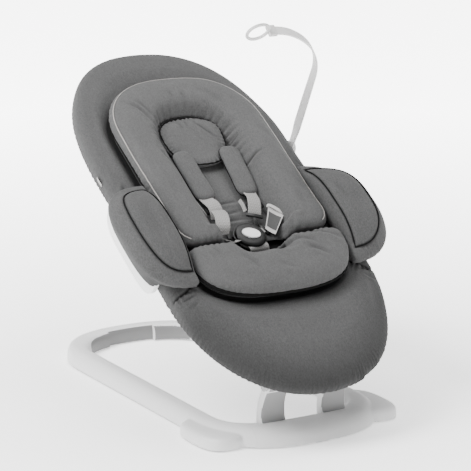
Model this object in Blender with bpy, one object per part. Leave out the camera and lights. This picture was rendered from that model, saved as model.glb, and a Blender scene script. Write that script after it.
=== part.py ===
"""Baby lounger: a padded, reclining seat on a sprung cradle over a white floor loop.

Units are metres.  +Z is up, the foot end faces -Y, the head end +Y, and the lounger is
mirrored about X = 0 apart from its toy bar.  The origin lies on the floor, in the middle of
the lounger's outer sizes.  Everything on the seat is drawn in the seat's own axes: X across,
Y up along the seat and Z square to it.  An empty turns those axes to the seat's slope.
"""

import math

import bmesh
import bpy
from mathutils import Matrix, Vector

# Clearances
SEAT_GAP = 0.0003
RUNNING_GAP = 0.0006
BORE_GAP = 0.0001

# Divisions of an outline's flat end
FLAT_STEPS = 4

# Floor loop
LOOP_RAIL_SPREAD = 0.286
LOOP_FRONT_Y = -0.3053
LOOP_FRONT_STRAIGHT_Y = -0.1893
LOOP_REAR_STRAIGHT_Y = 0.2272
LOOP_REAR_Y = 0.3497
LOOP_FRONT_POWER = 2.6
LOOP_REAR_POWER = 2.35
RAIL_HALF_WIDTH = 0.022
FRONT_BAR_HALF_WIDTH = 0.036
LOOP_HEIGHT = 0.029
LOOP_SECTION_POWER = 2.7
LOOP_REAR_SECTION_POWER = 3.8
FRONT_CREST_SHIFT = 0.008
FRONT_JOINT_X = 0.109
REAR_JOINT_X = 0.048
REAR_RECESS = 0.009
RUBBER_THICKNESS = 0.0017
RUBBER_RADIUS = 0.016
FOOT_PAD_CENTRE_X = 0.1505
FOOT_PAD_CENTRE_Y = -0.2363
FOOT_PAD_HALF_WIDTH = 0.0405
FOOT_PAD_HALF_LENGTH = 0.066
FOOT_PAD_HEIGHT = 0.0215
FOOT_PAD_POWER = 2.8

# Risers
RISER_CENTRE_X = 0.059
RISER_FOOT_WIDTH = 0.050
RISER_TOP_WIDTH = 0.042
RISER_THICKNESS = 0.019
RISER_FLARE = 0.010
RISER_SOCKET_Z = 0.018
RISER_EYE_RADIUS = 0.0135
RISER_SCREW_RADIUS = 0.0026
RISER_SCREW_HEAD_RADIUS = 0.0055
RISER_SCREW_HEAD_HEIGHT = 0.003
RISER_SCREW_LENGTH = 0.026
RISER_SCREW_PITCH = 0.026

# Seat slope and the seat axes' origin
SEAT_SLOPE = math.radians(32.3)
SEAT_ORIGIN_Y = -0.0393

# Cradle and its hinges, in the seat's axes
BOUNCE_Y = -0.160
BOUNCE_Z = 0.218
RECLINE_Y = 0.142
RECLINE_Z = 0.232
AXLE_RADIUS = 0.006
AXLE_CAP_RADIUS = 0.010
AXLE_CAP_THICKNESS = 0.004
CRADLE_ARM_WIDTH = 0.017
CRADLE_ARM_RADIUS = 0.0115
CRADLE_WEB_THICKNESS = 0.008
SPRING_LENGTH = 0.015
SPRING_WALL = 0.0045
QUADRANT_RADIUS = 0.0225
QUADRANT_WIDTH = 0.012
QUADRANT_NOTCHES = 3
NOTCH_PITCH = math.radians(9.0)
NOTCH_RADIUS = 0.0016

# Seat pan, rim tube and recline fittings, in the seat's axes
COVER_HALF_WIDTH = 0.1975
COVER_FOOT_END = -0.222
COVER_FOOT_STRAIGHT = 0.012
COVER_HEAD_STRAIGHT = 0.306
COVER_HEAD_END = 0.593
COVER_FOOT_POWER = 2.13
COVER_HEAD_POWER = 2.34
FOOT_BEND_START = 0.012
FOOT_BEND_LENGTH = 0.200
FOOT_BEND_DROP = 0.005
COVER_EDGE_Z = 0.274
COVER_CROWN = 0.0175
COVER_UNDERSIDE = 0.028
COVER_WALL = 0.0135
COVER_DISH_Z = 0.276
COVER_SHOULDER_LIFT = 0.0025
TUBE_RADIUS = 0.008
TUBE_Z = 0.258
TUBE_HEADROOM = 0.0008
PAN_THICKNESS = 0.005
PAN_RING_STEPS = (0.020, 0.050, 0.085, 0.125)
BRACKET_THICKNESS = 0.007
BRACKET_RADIUS = 0.0115
BRACKET_FOOT_LENGTH = 0.070
LATCH_RADIUS = 0.0032
LATCH_TRAVEL = 0.0024
LATCH_HOUSING_LENGTH = 0.040
LATCH_HOUSING_HALF_WIDTH = 0.012
LATCH_ROD_RADIUS = 0.0022
LATCH_COLLAR_RADIUS = 0.0065
LATCH_COLLAR_LENGTH = 0.003
LATCH_COLLAR_GAP = 0.001
LEVER_PIVOT_Y = 0.448
LEVER_ARM = 0.015
LEVER_FORK_BELOW_ROD = 0.0045
LEVER_LENGTH = 0.062
LEVER_WIDTH = 0.070
LEVER_THICKNESS = 0.006
LEVER_PIN_RADIUS = 0.002

# Side cheeks and bolsters, in the seat's axes
CHEEK_CENTRE_Y = 0.133
CHEEK_HALF_LENGTH = 0.095
CHEEK_TOP_Z = 0.2914
CHEEK_DEPTH = 0.057
CHEEK_POWER = 4.0
CHEEK_THICKNESS = 0.008
CHEEK_STAND_OFF = 0.006
CHEEK_FLANGE_THICKNESS = 0.007
CHEEK_FLANGE_LENGTH = 0.080
CHEEK_FLANGE_REACH = 0.052
BOLSTER_INNER_X = 0.153
BOLSTER_CENTRE_Y = 0.1195
BOLSTER_SLOT = 0.0009
BOLSTER_END_DROP = 0.024
BOLSTER_SEAM_Z = 0.341
BOLSTER_SEAM_BREADTH = 0.0745
BOLSTER_SEAM_HALF_LENGTH = 0.0965
BOLSTER_BULGE = 0.0205
BOLSTER_CROWN = 0.006
BOLSTER_BOTTOM_Z = 0.262

# Newborn insert, in the seat's axes
INSERT_HALF_WIDTH = 0.150
INSERT_FOOT_END = -0.042
INSERT_FOOT_STRAIGHT = 0.055
INSERT_HEAD_STRAIGHT = 0.346
INSERT_HEAD_END = 0.485
INSERT_FOOT_POWER = 2.7
INSERT_HEAD_POWER = 2.35
INSERT_FLAT = 0.112
INSERT_CORNER_LENGTH = 0.052
INSERT_CORNER_POWER = 2.4
INSERT_SPLIT_Y = 0.079
INSERT_SPLIT_GAP = 0.004
INSERT_EDGE_Z = 0.312
INSERT_CROWN = 0.0165
INSERT_FLOOR_Z = 0.283
WAIST_HALF_WIDTH = 0.052
HOLLOW_HALF_WIDTH = 0.074
HOLLOW_FOOT_END = 0.090
HOLLOW_FOOT_STRAIGHT = 0.130
HOLLOW_HEAD_STRAIGHT = 0.335
HOLLOW_HEAD_END = 0.409
HOLLOW_FLAT = 0.044
HOLLOW_POWER = 2.5
HEAD_PAD_HALF_WIDTH = 0.063
HEAD_PAD_FOOT_END = 0.278
HEAD_PAD_HEAD_END = 0.394
HEAD_PAD_HEIGHT = 0.0155

# Harness, in the seat's axes
SHOULDER_PAD_LENGTH = 0.116
SHOULDER_PAD_WIDTH = 0.040
SHOULDER_PAD_THICKNESS = 0.015
SHOULDER_PAD_CENTRE_X = 0.0445
SHOULDER_PAD_CENTRE_Y = 0.249
SHOULDER_PAD_CENTRE_Z = 0.302
SHOULDER_PAD_SPLAY = math.radians(3.0)
SHOULDER_PAD_TILT = math.radians(5.0)
WEB_WIDTH = 0.024
WEB_THICKNESS = 0.0016
STRAP_TOP = 0.060
STRAP_BOTTOM = -0.096
HIP_STRAP_BULGE = 0.014
HIP_STRAP_WIDTH = 0.014
HIP_STRAP_STAND_OFF = 0.009
HIP_STRAP_END_X = 0.036
HIP_STRAP_FLAT_END = 0.006
HIP_STRAP_END_Y = 0.150
ADJUSTER_WIDTH = 0.031
ADJUSTER_LENGTH = 0.013
ADJUSTER_THICKNESS = 0.0048
ADJUSTER_PLACE = -0.080
BUCKLE_CENTRE_Y = 0.1075
BUCKLE_RADIUS = 0.027
BUCKLE_BOTTOM_Z = 0.2845
BUCKLE_THICKNESS = 0.0125
BUTTON_HALF_WIDTH = 0.0165
BUTTON_HALF_LENGTH = 0.0115
BUTTON_DEPTH = 0.006
BUTTON_RISE = 0.0028
BUTTON_TRAVEL = 0.002
TONGUE_ANGLE = math.radians(74.0)
TONGUE_WIDTH = 0.015
TONGUE_THICKNESS = 0.003
TONGUE_DEPTH = 0.011
TONGUE_REACH = 0.0405
TONGUE_BAR_WIDTH = 0.026
TONGUE_BAR_LENGTH = 0.007
CROTCH_STRAP_WIDTH = 0.030
CROTCH_SLOT_RISE = 0.0033
CROTCH_SLOT_DEPTH = 0.006

# Toy bar, in the seat's axes
TOY_PLANE_LEAN = math.radians(12.6)
TOY_PIVOT_X = 0.2285
TOY_PIVOT_Y = 0.354
TOY_PIVOT_Z = 0.236
TOY_HUB_RADIUS = 0.013
TOY_HUB_THICKNESS = 0.009
TOY_PIN_RADIUS = 0.003
TOY_CHEEK_RADIUS = 0.010
TOY_CHEEK_LENGTH = 0.005
TOY_CHEEK_THICKNESS = 0.007
TOY_TAIL_DEPTH = 0.012
TOY_TAIL_FOOT = 0.019
TOY_TAIL_HEAD = 0.007
TOY_TAIL_INSET = 0.014
TOY_TAIL_LAP = 0.003
TOY_STRIP_WIDTH = 0.017
TOY_STRIP_THICKNESS = 0.003
TOY_LEG_ANGLE = math.radians(103.5)
TOY_LEG_LENGTH = 0.240
TOY_WIDE_BEND_RADIUS = 0.200
TOY_WIDE_BEND_TURN = math.radians(50.0)
TOY_TIGHT_BEND_RADIUS = 0.100
TOY_TIGHT_BEND_TURN = math.radians(26.5)
TOY_RING_RADIUS = 0.0195
TOY_RING_STOCK = 0.0028
TOY_NECK_LENGTH = 0.010
TOY_NECK_WALL = 0.0022


def clear_scene():
    """Remove every object that the scene starts with."""
    for item in list(bpy.data.objects):
        bpy.data.objects.remove(item, do_unlink=True)


def make_material(name, colour, roughness, metallic=0.0):
    """Return a plain Principled material."""
    material = bpy.data.materials.new(name)
    material.use_nodes = True
    shader = material.node_tree.nodes["Principled BSDF"]
    shader.inputs["Base Color"].default_value = (*colour, 1.0)
    shader.inputs["Roughness"].default_value = roughness
    shader.inputs["Metallic"].default_value = metallic
    material.diffuse_color = (*colour, 1.0)
    return material


def make_empty(name, parent, location, rotation_x=0.0):
    """Return an empty that carries a set of axes."""
    empty = bpy.data.objects.new(name, None)
    bpy.context.scene.collection.objects.link(empty)
    empty.parent = parent
    empty.location = location
    empty.rotation_euler = (rotation_x, 0.0, 0.0)
    return empty


def make_object(name, mesh_data, parent, material, smooth_angle=40.0):
    """Turn a bmesh into a named object with outward faces and smooth shading."""
    bmesh.ops.recalc_face_normals(mesh_data, faces=mesh_data.faces)
    mesh = bpy.data.meshes.new(name)
    mesh_data.to_mesh(mesh)
    mesh_data.free()
    mesh.shade_smooth()
    mesh.set_sharp_from_angle(angle=math.radians(smooth_angle))
    mesh.materials.append(material)
    item = bpy.data.objects.new(name, mesh)
    bpy.context.scene.collection.objects.link(item)
    item.parent = parent
    return item


def as_guide(item):
    """Keep a helper solid out of the finished object."""
    item.hide_render = True
    item.display_type = "WIRE"
    return item


def add_boolean(item, helper, operation):
    """Cut, join or intersect an object with a helper solid."""
    as_guide(helper)
    modifier = item.modifiers.new(operation.title() + " " + helper.name, "BOOLEAN")
    modifier.operation = operation
    modifier.solver = "EXACT"
    modifier.object = helper
    return item


def add_bevel(item, width, segments=2, angle=35.0):
    """Round the sharp edges of an object."""
    modifier = item.modifiers.new("Rounded edges", "BEVEL")
    modifier.width = width
    modifier.segments = segments
    modifier.limit_method = "ANGLE"
    modifier.angle_limit = math.radians(angle)
    modifier.use_clamp_overlap = True
    return item


def loft_mesh(rings, start=None, end=None):
    """Skin a row of closed rings and close both ends to a middle point.

    rings holds lists of the same number of points.  start and end are the middle points of
    the two caps; the mean of the end ring is taken where none is given.
    """
    data = bmesh.new()
    rows = []
    for ring in rings:
        rows.append([data.verts.new(point) for point in ring])
    count = len(rows[0])
    for low, high in zip(rows, rows[1:]):
        for index in range(count):
            after = (index + 1) % count
            data.faces.new((low[index], low[after], high[after], high[index]))
    for row, ring, centre in ((rows[0], rings[0], start), (rows[-1], rings[-1], end)):
        if centre is None:
            centre = sum((Vector(point) for point in ring), Vector()) / count
        middle = data.verts.new(centre)
        for index in range(count):
            data.faces.new((middle, row[index], row[(index + 1) % count]))
    return data


def extrude_mesh(outline, low, high, axis="X"):
    """Extrude a flat outline between two places on an axis.

    The outline's two numbers are Y and Z for the X axis, and X and Y for the Z axis.
    """
    rings = []
    for place in (low, high):
        if axis == "X":
            rings.append([Vector((place, first, second)) for first, second in outline])
        else:
            rings.append([Vector((first, second, place)) for first, second in outline])
    data = bmesh.new()
    rows = [[data.verts.new(point) for point in ring] for ring in rings]
    count = len(outline)
    for index in range(count):
        after = (index + 1) % count
        data.faces.new((rows[0][index], rows[0][after], rows[1][after], rows[1][index]))
    data.faces.new(rows[0])
    data.faces.new(rows[1])
    return data


def box_mesh(low, high):
    """Return a box between two opposite corners."""
    outline = [(low[0], low[1]), (high[0], low[1]), (high[0], high[1]), (low[0], high[1])]
    return extrude_mesh(outline, low[2], high[2], axis="Z")


def circle(centre_a, centre_b, radius, steps):
    """Return the points of a circle in a plane."""
    points = []
    for step in range(steps):
        angle = 2.0 * math.pi * step / steps
        points.append((centre_a + radius * math.cos(angle), centre_b + radius * math.sin(angle)))
    return points


def rod_mesh(x_low, x_high, y, z, radius, steps=32):
    """Return a round rod along X."""
    return extrude_mesh(circle(y, z, radius, steps), x_low, x_high)


def rod_along_y_mesh(y_low, y_high, x, z, radii, steps=16):
    """Return a round rod along Y whose radius steps at each place in radii.

    radii holds pairs of a place along Y and the radius that starts there.
    """
    rings = []
    places = [place for place, _ in radii[1:]] + [y_high]
    start = y_low
    for (_, radius), end in zip(radii, places):
        for place in (start, end):
            rings.append([Vector((x + a, place, z + b)) for a, b in circle(0, 0, radius, steps)])
        start = end
    return loft_mesh(rings)


def hull_outline(centre_one, radius_one, centre_two, radius_two, steps=10):
    """Return the outline of a link: two round ends joined by straight flanks."""
    one = Vector(centre_one)
    two = Vector(centre_two)
    run = two - one
    heading = math.atan2(run.y, run.x)
    spread = math.acos((radius_one - radius_two) / run.length)
    points = []
    for step in range(steps + 1):
        angle = heading - spread + 2.0 * spread * step / steps
        points.append((two.x + radius_two * math.cos(angle), two.y + radius_two * math.sin(angle)))
    for step in range(steps + 1):
        angle = heading + spread + 2.0 * (math.pi - spread) * step / steps
        points.append((one.x + radius_one * math.cos(angle), one.y + radius_one * math.sin(angle)))
    return points


def egg_outline(half_width, foot_end, foot_straight, head_straight, head_end, foot_power,
                head_power, quarter_steps=9, side_steps=4, foot_flat=0.0, head_flat=0.0):
    """Return a closed, mirrored outline with two rounded ends and straight sides.

    It starts in the middle of the foot end and runs anticlockwise seen from above.  Where an
    end has a flat part, the flat's half width is given and the end is divided more finely.
    """
    right = []
    if foot_flat > 0.0:
        right += [(foot_flat * step / FLAT_STEPS, foot_end) for step in range(FLAT_STEPS)]
    for step in range(quarter_steps + 1):
        angle = 0.5 * math.pi * step / quarter_steps
        across = foot_flat + (half_width - foot_flat) * math.sin(angle) ** (2.0 / foot_power)
        along = (foot_straight - foot_end) * math.cos(angle) ** (2.0 / foot_power)
        right.append((across, foot_straight - along))
    for step in range(1, side_steps):
        along = foot_straight + (head_straight - foot_straight) * step / side_steps
        right.append((half_width, along))
    for step in range(quarter_steps, -1, -1):
        angle = 0.5 * math.pi * step / quarter_steps
        across = head_flat + (half_width - head_flat) * math.sin(angle) ** (2.0 / head_power)
        along = (head_end - head_straight) * math.cos(angle) ** (2.0 / head_power)
        right.append((across, head_straight + along))
    if head_flat > 0.0:
        right += [(head_flat * step / FLAT_STEPS, head_end)
                  for step in range(FLAT_STEPS - 1, -1, -1)]
    left = [(-across, along) for across, along in reversed(right[1:-1])]
    return right + left


def cover_outline(inset):
    """Return the seat cover's outline, drawn in by an inset."""
    return egg_outline(COVER_HALF_WIDTH - inset, COVER_FOOT_END + inset, COVER_FOOT_STRAIGHT,
                       COVER_HEAD_STRAIGHT, COVER_HEAD_END - inset, COVER_FOOT_POWER,
                       COVER_HEAD_POWER)


def insert_outline(inset):
    """Return the whole newborn insert's outline, drawn in by an inset."""
    return egg_outline(INSERT_HALF_WIDTH - inset, INSERT_FOOT_END + inset, INSERT_FOOT_STRAIGHT,
                       INSERT_HEAD_STRAIGHT, INSERT_HEAD_END - inset, INSERT_FOOT_POWER,
                       INSERT_HEAD_POWER)


def smooth_share(value):
    """Return a smooth step from 0 to 1."""
    share = min(1.0, max(0.0, value))
    return share * share * (3.0 - 2.0 * share)


def foot_drop(y):
    """Return how far the seat bends down at a place near its foot end."""
    if y >= FOOT_BEND_START:
        return 0.0
    return FOOT_BEND_DROP * ((FOOT_BEND_START - y) / FOOT_BEND_LENGTH) ** 2


def bent(x, y, z):
    """Return a point of the seat after the bend at its foot end."""
    return Vector((x, y, z - foot_drop(y)))


def seat_to_world(x, y, z):
    """Return the world place of a point in the seat's axes."""
    across = math.cos(SEAT_SLOPE) * y - math.sin(SEAT_SLOPE) * z + SEAT_ORIGIN_Y
    height = math.sin(SEAT_SLOPE) * y + math.cos(SEAT_SLOPE) * z
    return Vector((x, across, height))


def loop_section(place, outward, half_out, half_in, crest_shift, power, steps=8):
    """Return one domed section of the floor loop."""
    points = []
    for step in range(steps + 1):
        angle = math.pi * step / steps
        reach = math.copysign(abs(math.cos(angle)) ** (2.0 / power), math.cos(angle))
        rise = math.sin(angle) ** (2.0 / power)
        if step in (0, steps):
            rise = 0.0
        offset = reach * (half_out if reach > 0.0 else half_in) - crest_shift * rise
        spot = place + outward * offset
        points.append(Vector((spot.x, spot.y, RUBBER_THICKNESS + SEAT_GAP + LOOP_HEIGHT * rise)))
    return points


def loop_place(zone, share):
    """Return a place on the right half of the loop's middle line.

    zone is front, side or rear.  share runs from 0 to 1 away from the loop's middle in the
    front and the rear, and from front to rear along the side.
    """
    half = 0.5 * LOOP_RAIL_SPREAD
    if zone == "side":
        y = LOOP_FRONT_STRAIGHT_Y + (LOOP_REAR_STRAIGHT_Y - LOOP_FRONT_STRAIGHT_Y) * share
        return Vector((half, y, 0.0))
    angle = 0.5 * math.pi * share
    power = LOOP_FRONT_POWER if zone == "front" else LOOP_REAR_POWER
    x = half * math.sin(angle) ** (2.0 / power)
    reach = math.cos(angle) ** (2.0 / power)
    if zone == "front":
        y = LOOP_FRONT_STRAIGHT_Y + (LOOP_FRONT_Y - LOOP_FRONT_STRAIGHT_Y) * reach
    else:
        y = LOOP_REAR_STRAIGHT_Y + (LOOP_REAR_Y - LOOP_REAR_STRAIGHT_Y) * reach
    return Vector((x, y, 0.0))


def loop_share(x, power):
    """Return the share along a rounded end at which its middle line reaches x."""
    return math.asin((2.0 * x / LOOP_RAIL_SPREAD) ** (0.5 * power)) / (0.5 * math.pi)


def loop_rings(stations, side):
    """Return the loop's sections at a row of stations, on the right or the left side."""
    centre = Vector((0.0, 0.0, 0.0))
    places = [loop_place(zone, share) for zone, share in stations]
    rings = []
    for index, (zone, share) in enumerate(stations):
        before = places[max(index - 1, 0)]
        after = places[min(index + 1, len(places) - 1)]
        run = (after - before).normalized()
        outward = Vector((-run.y, run.x, 0.0))
        if outward.dot(places[index] - centre) < 0.0:
            outward = -outward
        if (zone, share) in (("front", 0.0), ("rear", 0.0)):
            outward = Vector((0.0, math.copysign(1.0, places[index].y), 0.0))
        widen = 1.0 - smooth_share(share) if zone == "front" else 0.0
        half = RAIL_HALF_WIDTH + (FRONT_BAR_HALF_WIDTH - RAIL_HALF_WIDTH) * widen
        square = smooth_share(2.0 * (1.0 - share)) if zone == "rear" else 0.0
        power = LOOP_SECTION_POWER + (LOOP_REAR_SECTION_POWER - LOOP_SECTION_POWER) * square
        ring = loop_section(places[index], outward, half, half, FRONT_CREST_SHIFT * widen, power)
        rings.append([Vector((side * point.x, point.y, point.z)) for point in ring])
    return rings


def joint_box(name, x_low, x_high, y_low, y_high, white):
    """Return a tall guide box that trims the loop at one of its joints."""
    return make_object(name, box_mesh((x_low, y_low, -0.01), (x_high, y_high, 0.08)), None, white)


def build_loop_rail(side, suffix, white):
    """Build one side rail with its rear corner and its front foot pad."""
    front_start = loop_share(FRONT_JOINT_X - RAIL_HALF_WIDTH, LOOP_FRONT_POWER)
    rear_start = loop_share(REAR_JOINT_X - 0.3 * RAIL_HALF_WIDTH, LOOP_REAR_POWER)
    stations = []
    for step in range(7):
        stations.append(("front", front_start + (1.0 - front_start) * step / 7.0))
    stations += [("side", 0.0), ("side", 0.5), ("side", 1.0)]
    for step in range(1, 10):
        stations.append(("rear", 1.0 - (1.0 - rear_start) * step / 9.0))
    rail = make_object("floor_rail_" + suffix, loft_mesh(loop_rings(stations, side)), None, white)
    for name, x, y_low, y_high in (("front", FRONT_JOINT_X, -0.5, 0.0),
                                   ("rear", REAR_JOINT_X, 0.0, 0.5)):
        ends = (0.0, side * (x + 0.5 * SEAT_GAP))
        add_boolean(rail, joint_box(f"guide_{name}_joint_{suffix}", min(ends), max(ends), y_low,
                                    y_high, white), "DIFFERENCE")
    return add_boolean(rail, build_foot_pad(side, suffix, white), "UNION")


def build_foot_pad(side, suffix, white):
    """Build the domed pad that stands out at a front corner."""
    floor_z = RUBBER_THICKNESS + SEAT_GAP
    levels = [(0.0, 0.0), (0.0, 0.62), (0.003, 0.84), (0.009, 0.96), (0.018, 1.0)]
    rings = []
    for inset, share in levels:
        ring = egg_outline(FOOT_PAD_HALF_WIDTH - inset, -FOOT_PAD_HALF_LENGTH + inset, -0.001,
                           0.001, FOOT_PAD_HALF_LENGTH - inset, FOOT_PAD_POWER,
                           FOOT_PAD_POWER, quarter_steps=6, side_steps=1)
        rings.append([Vector((x, y, floor_z + FOOT_PAD_HEIGHT * share)) for x, y in ring])
    pad = make_object("guide_foot_pad_" + suffix, loft_mesh(rings), None, white)
    pad.location = (side * FOOT_PAD_CENTRE_X, FOOT_PAD_CENTRE_Y, 0.0)
    return pad


def build_front_bar(white):
    """Build the bowed front bar with the two pockets for the risers."""
    reach = loop_share(FRONT_JOINT_X + RAIL_HALF_WIDTH, LOOP_FRONT_POWER)
    stations = [("front", reach * step / 8.0) for step in range(9)]
    right = loop_rings(stations, 1.0)
    left = loop_rings(stations, -1.0)
    bar = make_object("front_bar", loft_mesh(list(reversed(left[1:])) + right), None, white)
    trim = FRONT_JOINT_X - 0.5 * SEAT_GAP
    add_boolean(bar, joint_box("guide_front_bar_ends", -trim, trim, -0.5, 0.0, white),
                "INTERSECT")
    for side, suffix in ((-1.0, "left"), (1.0, "right")):
        pocket = riser_mesh(side, SEAT_GAP, to_eye=False)
        helper = make_object("guide_riser_pocket_" + suffix, pocket, None, white)
        add_boolean(bar, helper, "DIFFERENCE")
        for index, x in enumerate(riser_screw_places(side)):
            hole = make_object(f"guide_screw_hole_{suffix}_{index}",
                               screw_mesh(x, SEAT_GAP, through=True), None, white)
            add_boolean(bar, hole, "DIFFERENCE")
    return bar


def build_rear_connector(white):
    """Build the short rear bar between the two rear corners, recessed on its inner side."""
    share = loop_share(REAR_JOINT_X - 0.5 * SEAT_GAP, LOOP_REAR_POWER)
    rings = []
    for step in range(-2, 3):
        place = loop_place("rear", share * abs(step) / 2.0)
        place.x = math.copysign(place.x, step)
        rings.append(loop_section(place, Vector((0.0, 1.0, 0.0)), RAIL_HALF_WIDTH,
                                  RAIL_HALF_WIDTH - REAR_RECESS, 0.0, LOOP_REAR_SECTION_POWER))
    return make_object("rear_connector", loft_mesh(rings), None, white)


def rubber_places():
    """Return the names and the places of the four rubber feet."""
    front_y = FOOT_PAD_CENTRE_Y
    rear_y = LOOP_REAR_STRAIGHT_Y
    rear_x = 0.5 * LOOP_RAIL_SPREAD
    return [("front_left", -FOOT_PAD_CENTRE_X, front_y), ("front_right", FOOT_PAD_CENTRE_X, front_y),
            ("rear_left", -rear_x, rear_y), ("rear_right", rear_x, rear_y)]


def build_rubber_feet(rubber):
    """Build the four rubber feet under the loop."""
    for place, x, y in rubber_places():
        foot = make_object("rubber_foot_" + place,
                           extrude_mesh(circle(0.0, 0.0, RUBBER_RADIUS, 24), 0.0,
                                        RUBBER_THICKNESS, axis="Z"), None, rubber)
        foot.location = (x, y, 0.0)


def riser_line():
    """Return the riser's middle line from its socket to its eye, as Y and Z."""
    top = seat_to_world(0.0, BOUNCE_Y, BOUNCE_Z)
    foot_y = top.y + 0.017
    rise = top.z - RISER_SOCKET_Z
    points = []
    steps = 8
    for step in range(steps + 1):
        share = step / steps
        lean = 0.017 * share ** 1.8
        bow = 0.006 * math.sin(math.pi * share)
        points.append(Vector((0.0, foot_y - lean + bow, RISER_SOCKET_Z + rise * share)))
    return points


def riser_mesh(side, grow, to_eye=True):
    """Return one riser's arm, or the lower part of it grown for a pocket."""
    line = riser_line()
    count = len(line)
    stop = count if to_eye else 4
    rings = []
    for index in range(stop):
        place = line[index]
        share = index / (count - 1)
        ahead = line[min(index + 1, count - 1)] - line[max(index - 1, 0)]
        back = Vector((0.0, ahead.z, -ahead.y)).normalized()
        if index == 0:
            back = Vector((0.0, 1.0, 0.0))
        half_x = 0.5 * (RISER_FOOT_WIDTH + (RISER_TOP_WIDTH - RISER_FOOT_WIDTH) * share) + grow
        half_back = 0.5 * RISER_THICKNESS + grow
        flare = RISER_FLARE * max(0.0, 1.0 - 3.2 * share) ** 2
        corner = 0.35 * half_back
        front = half_back + flare
        profile = [(-half_x, -front + corner), (-half_x + corner, -front),
                   (half_x - corner, -front), (half_x, -front + corner),
                   (half_x, half_back - corner), (half_x - corner, half_back),
                   (-half_x + corner, half_back), (-half_x, half_back - corner)]
        low = Vector((0.0, 0.0, -grow)) if index == 0 else Vector((0.0, 0.0, 0.0))
        centre = place + low + Vector((side * RISER_CENTRE_X, 0.0, 0.0))
        rings.append([centre + Vector((x, 0.0, 0.0)) + back * depth for x, depth in profile])
    return loft_mesh(rings)


def riser_screw_places(side):
    """Return the X places of one riser's two screws."""
    return [side * RISER_CENTRE_X - 0.5 * RISER_SCREW_PITCH,
            side * RISER_CENTRE_X + 0.5 * RISER_SCREW_PITCH]


def screw_mesh(x, grow, through=False):
    """Return a pan-head screw that points up, or the hole for it."""
    y = riser_line()[0].y
    head_low = RUBBER_THICKNESS + SEAT_GAP + 0.001
    if through:
        head_low = -0.001
    head_high = RUBBER_THICKNESS + SEAT_GAP + 0.001 + RISER_SCREW_HEAD_HEIGHT + grow
    top = RUBBER_THICKNESS + SEAT_GAP + RISER_SCREW_LENGTH + grow
    rings = []
    for z, radius in ((head_low, RISER_SCREW_HEAD_RADIUS), (head_high, RISER_SCREW_HEAD_RADIUS),
                      (head_high, RISER_SCREW_RADIUS), (top, RISER_SCREW_RADIUS)):
        rings.append([Vector((a, b, z)) for a, b in circle(x, y, radius + grow, 14)])
    return loft_mesh(rings)


def build_risers(white, steel):
    """Build the two risers with their eyes, and the screws that hold them."""
    pivot = seat_to_world(0.0, BOUNCE_Y, BOUNCE_Z)
    half_eye = 0.5 * RISER_TOP_WIDTH
    for side, suffix in ((-1.0, "left"), (1.0, "right")):
        riser = make_object("riser_" + suffix, riser_mesh(side, 0.0), None, white)
        centre = side * RISER_CENTRE_X
        eye = make_object("guide_riser_eye_" + suffix,
                          rod_mesh(centre - half_eye, centre + half_eye, pivot.y, pivot.z,
                                   RISER_EYE_RADIUS, 24), None, white)
        bore = make_object("guide_riser_bore_" + suffix,
                           rod_mesh(centre - RISER_FOOT_WIDTH, centre + RISER_FOOT_WIDTH, pivot.y,
                                    pivot.z, AXLE_RADIUS + BORE_GAP), None, white)
        add_boolean(riser, eye, "UNION")
        add_boolean(riser, bore, "DIFFERENCE")
        for index, x in enumerate(riser_screw_places(side)):
            hole = make_object(f"guide_riser_screw_hole_{suffix}_{index}",
                               screw_mesh(x, SEAT_GAP), None, white)
            add_boolean(riser, hole, "DIFFERENCE")
            make_object(f"riser_screw_{suffix}_{index + 1}", screw_mesh(x, 0.0), None, steel)


def riser_outer_x():
    """Return how far out the riser's eye reaches."""
    return RISER_CENTRE_X + 0.5 * RISER_TOP_WIDTH


def cradle_outer_x():
    """Return how far out the cradle's arms reach between the risers."""
    return RISER_CENTRE_X - 0.5 * RISER_TOP_WIDTH - RUNNING_GAP


def bracket_outer_x():
    """Return how far out the recline brackets reach, outside the cradle's arms."""
    return cradle_outer_x() + RUNNING_GAP + BRACKET_THICKNESS


def build_axle(name, y, z, reach, parent, steel, dark):
    """Build an axle along X and a cap on each of its ends."""
    axle = make_object(name, rod_mesh(-reach, reach, y, z, AXLE_RADIUS), parent, steel)
    for side, suffix in ((-1.0, "left"), (1.0, "right")):
        ends = (side * (reach - AXLE_CAP_THICKNESS), side * (reach + 0.001))
        cap = make_object(f"{name}_cap_{suffix}",
                          rod_mesh(min(ends), max(ends), y, z, AXLE_CAP_RADIUS, 24), parent, dark)
        sunk = (side * (reach - 2.0 * AXLE_CAP_THICKNESS), side * (reach + SEAT_GAP))
        hole = make_object(f"guide_{name}_cap_hole_{suffix}",
                           rod_mesh(min(sunk), max(sunk), y, z, AXLE_RADIUS + BORE_GAP),
                           parent, dark)
        add_boolean(cap, hole, "DIFFERENCE")
    return axle


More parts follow.
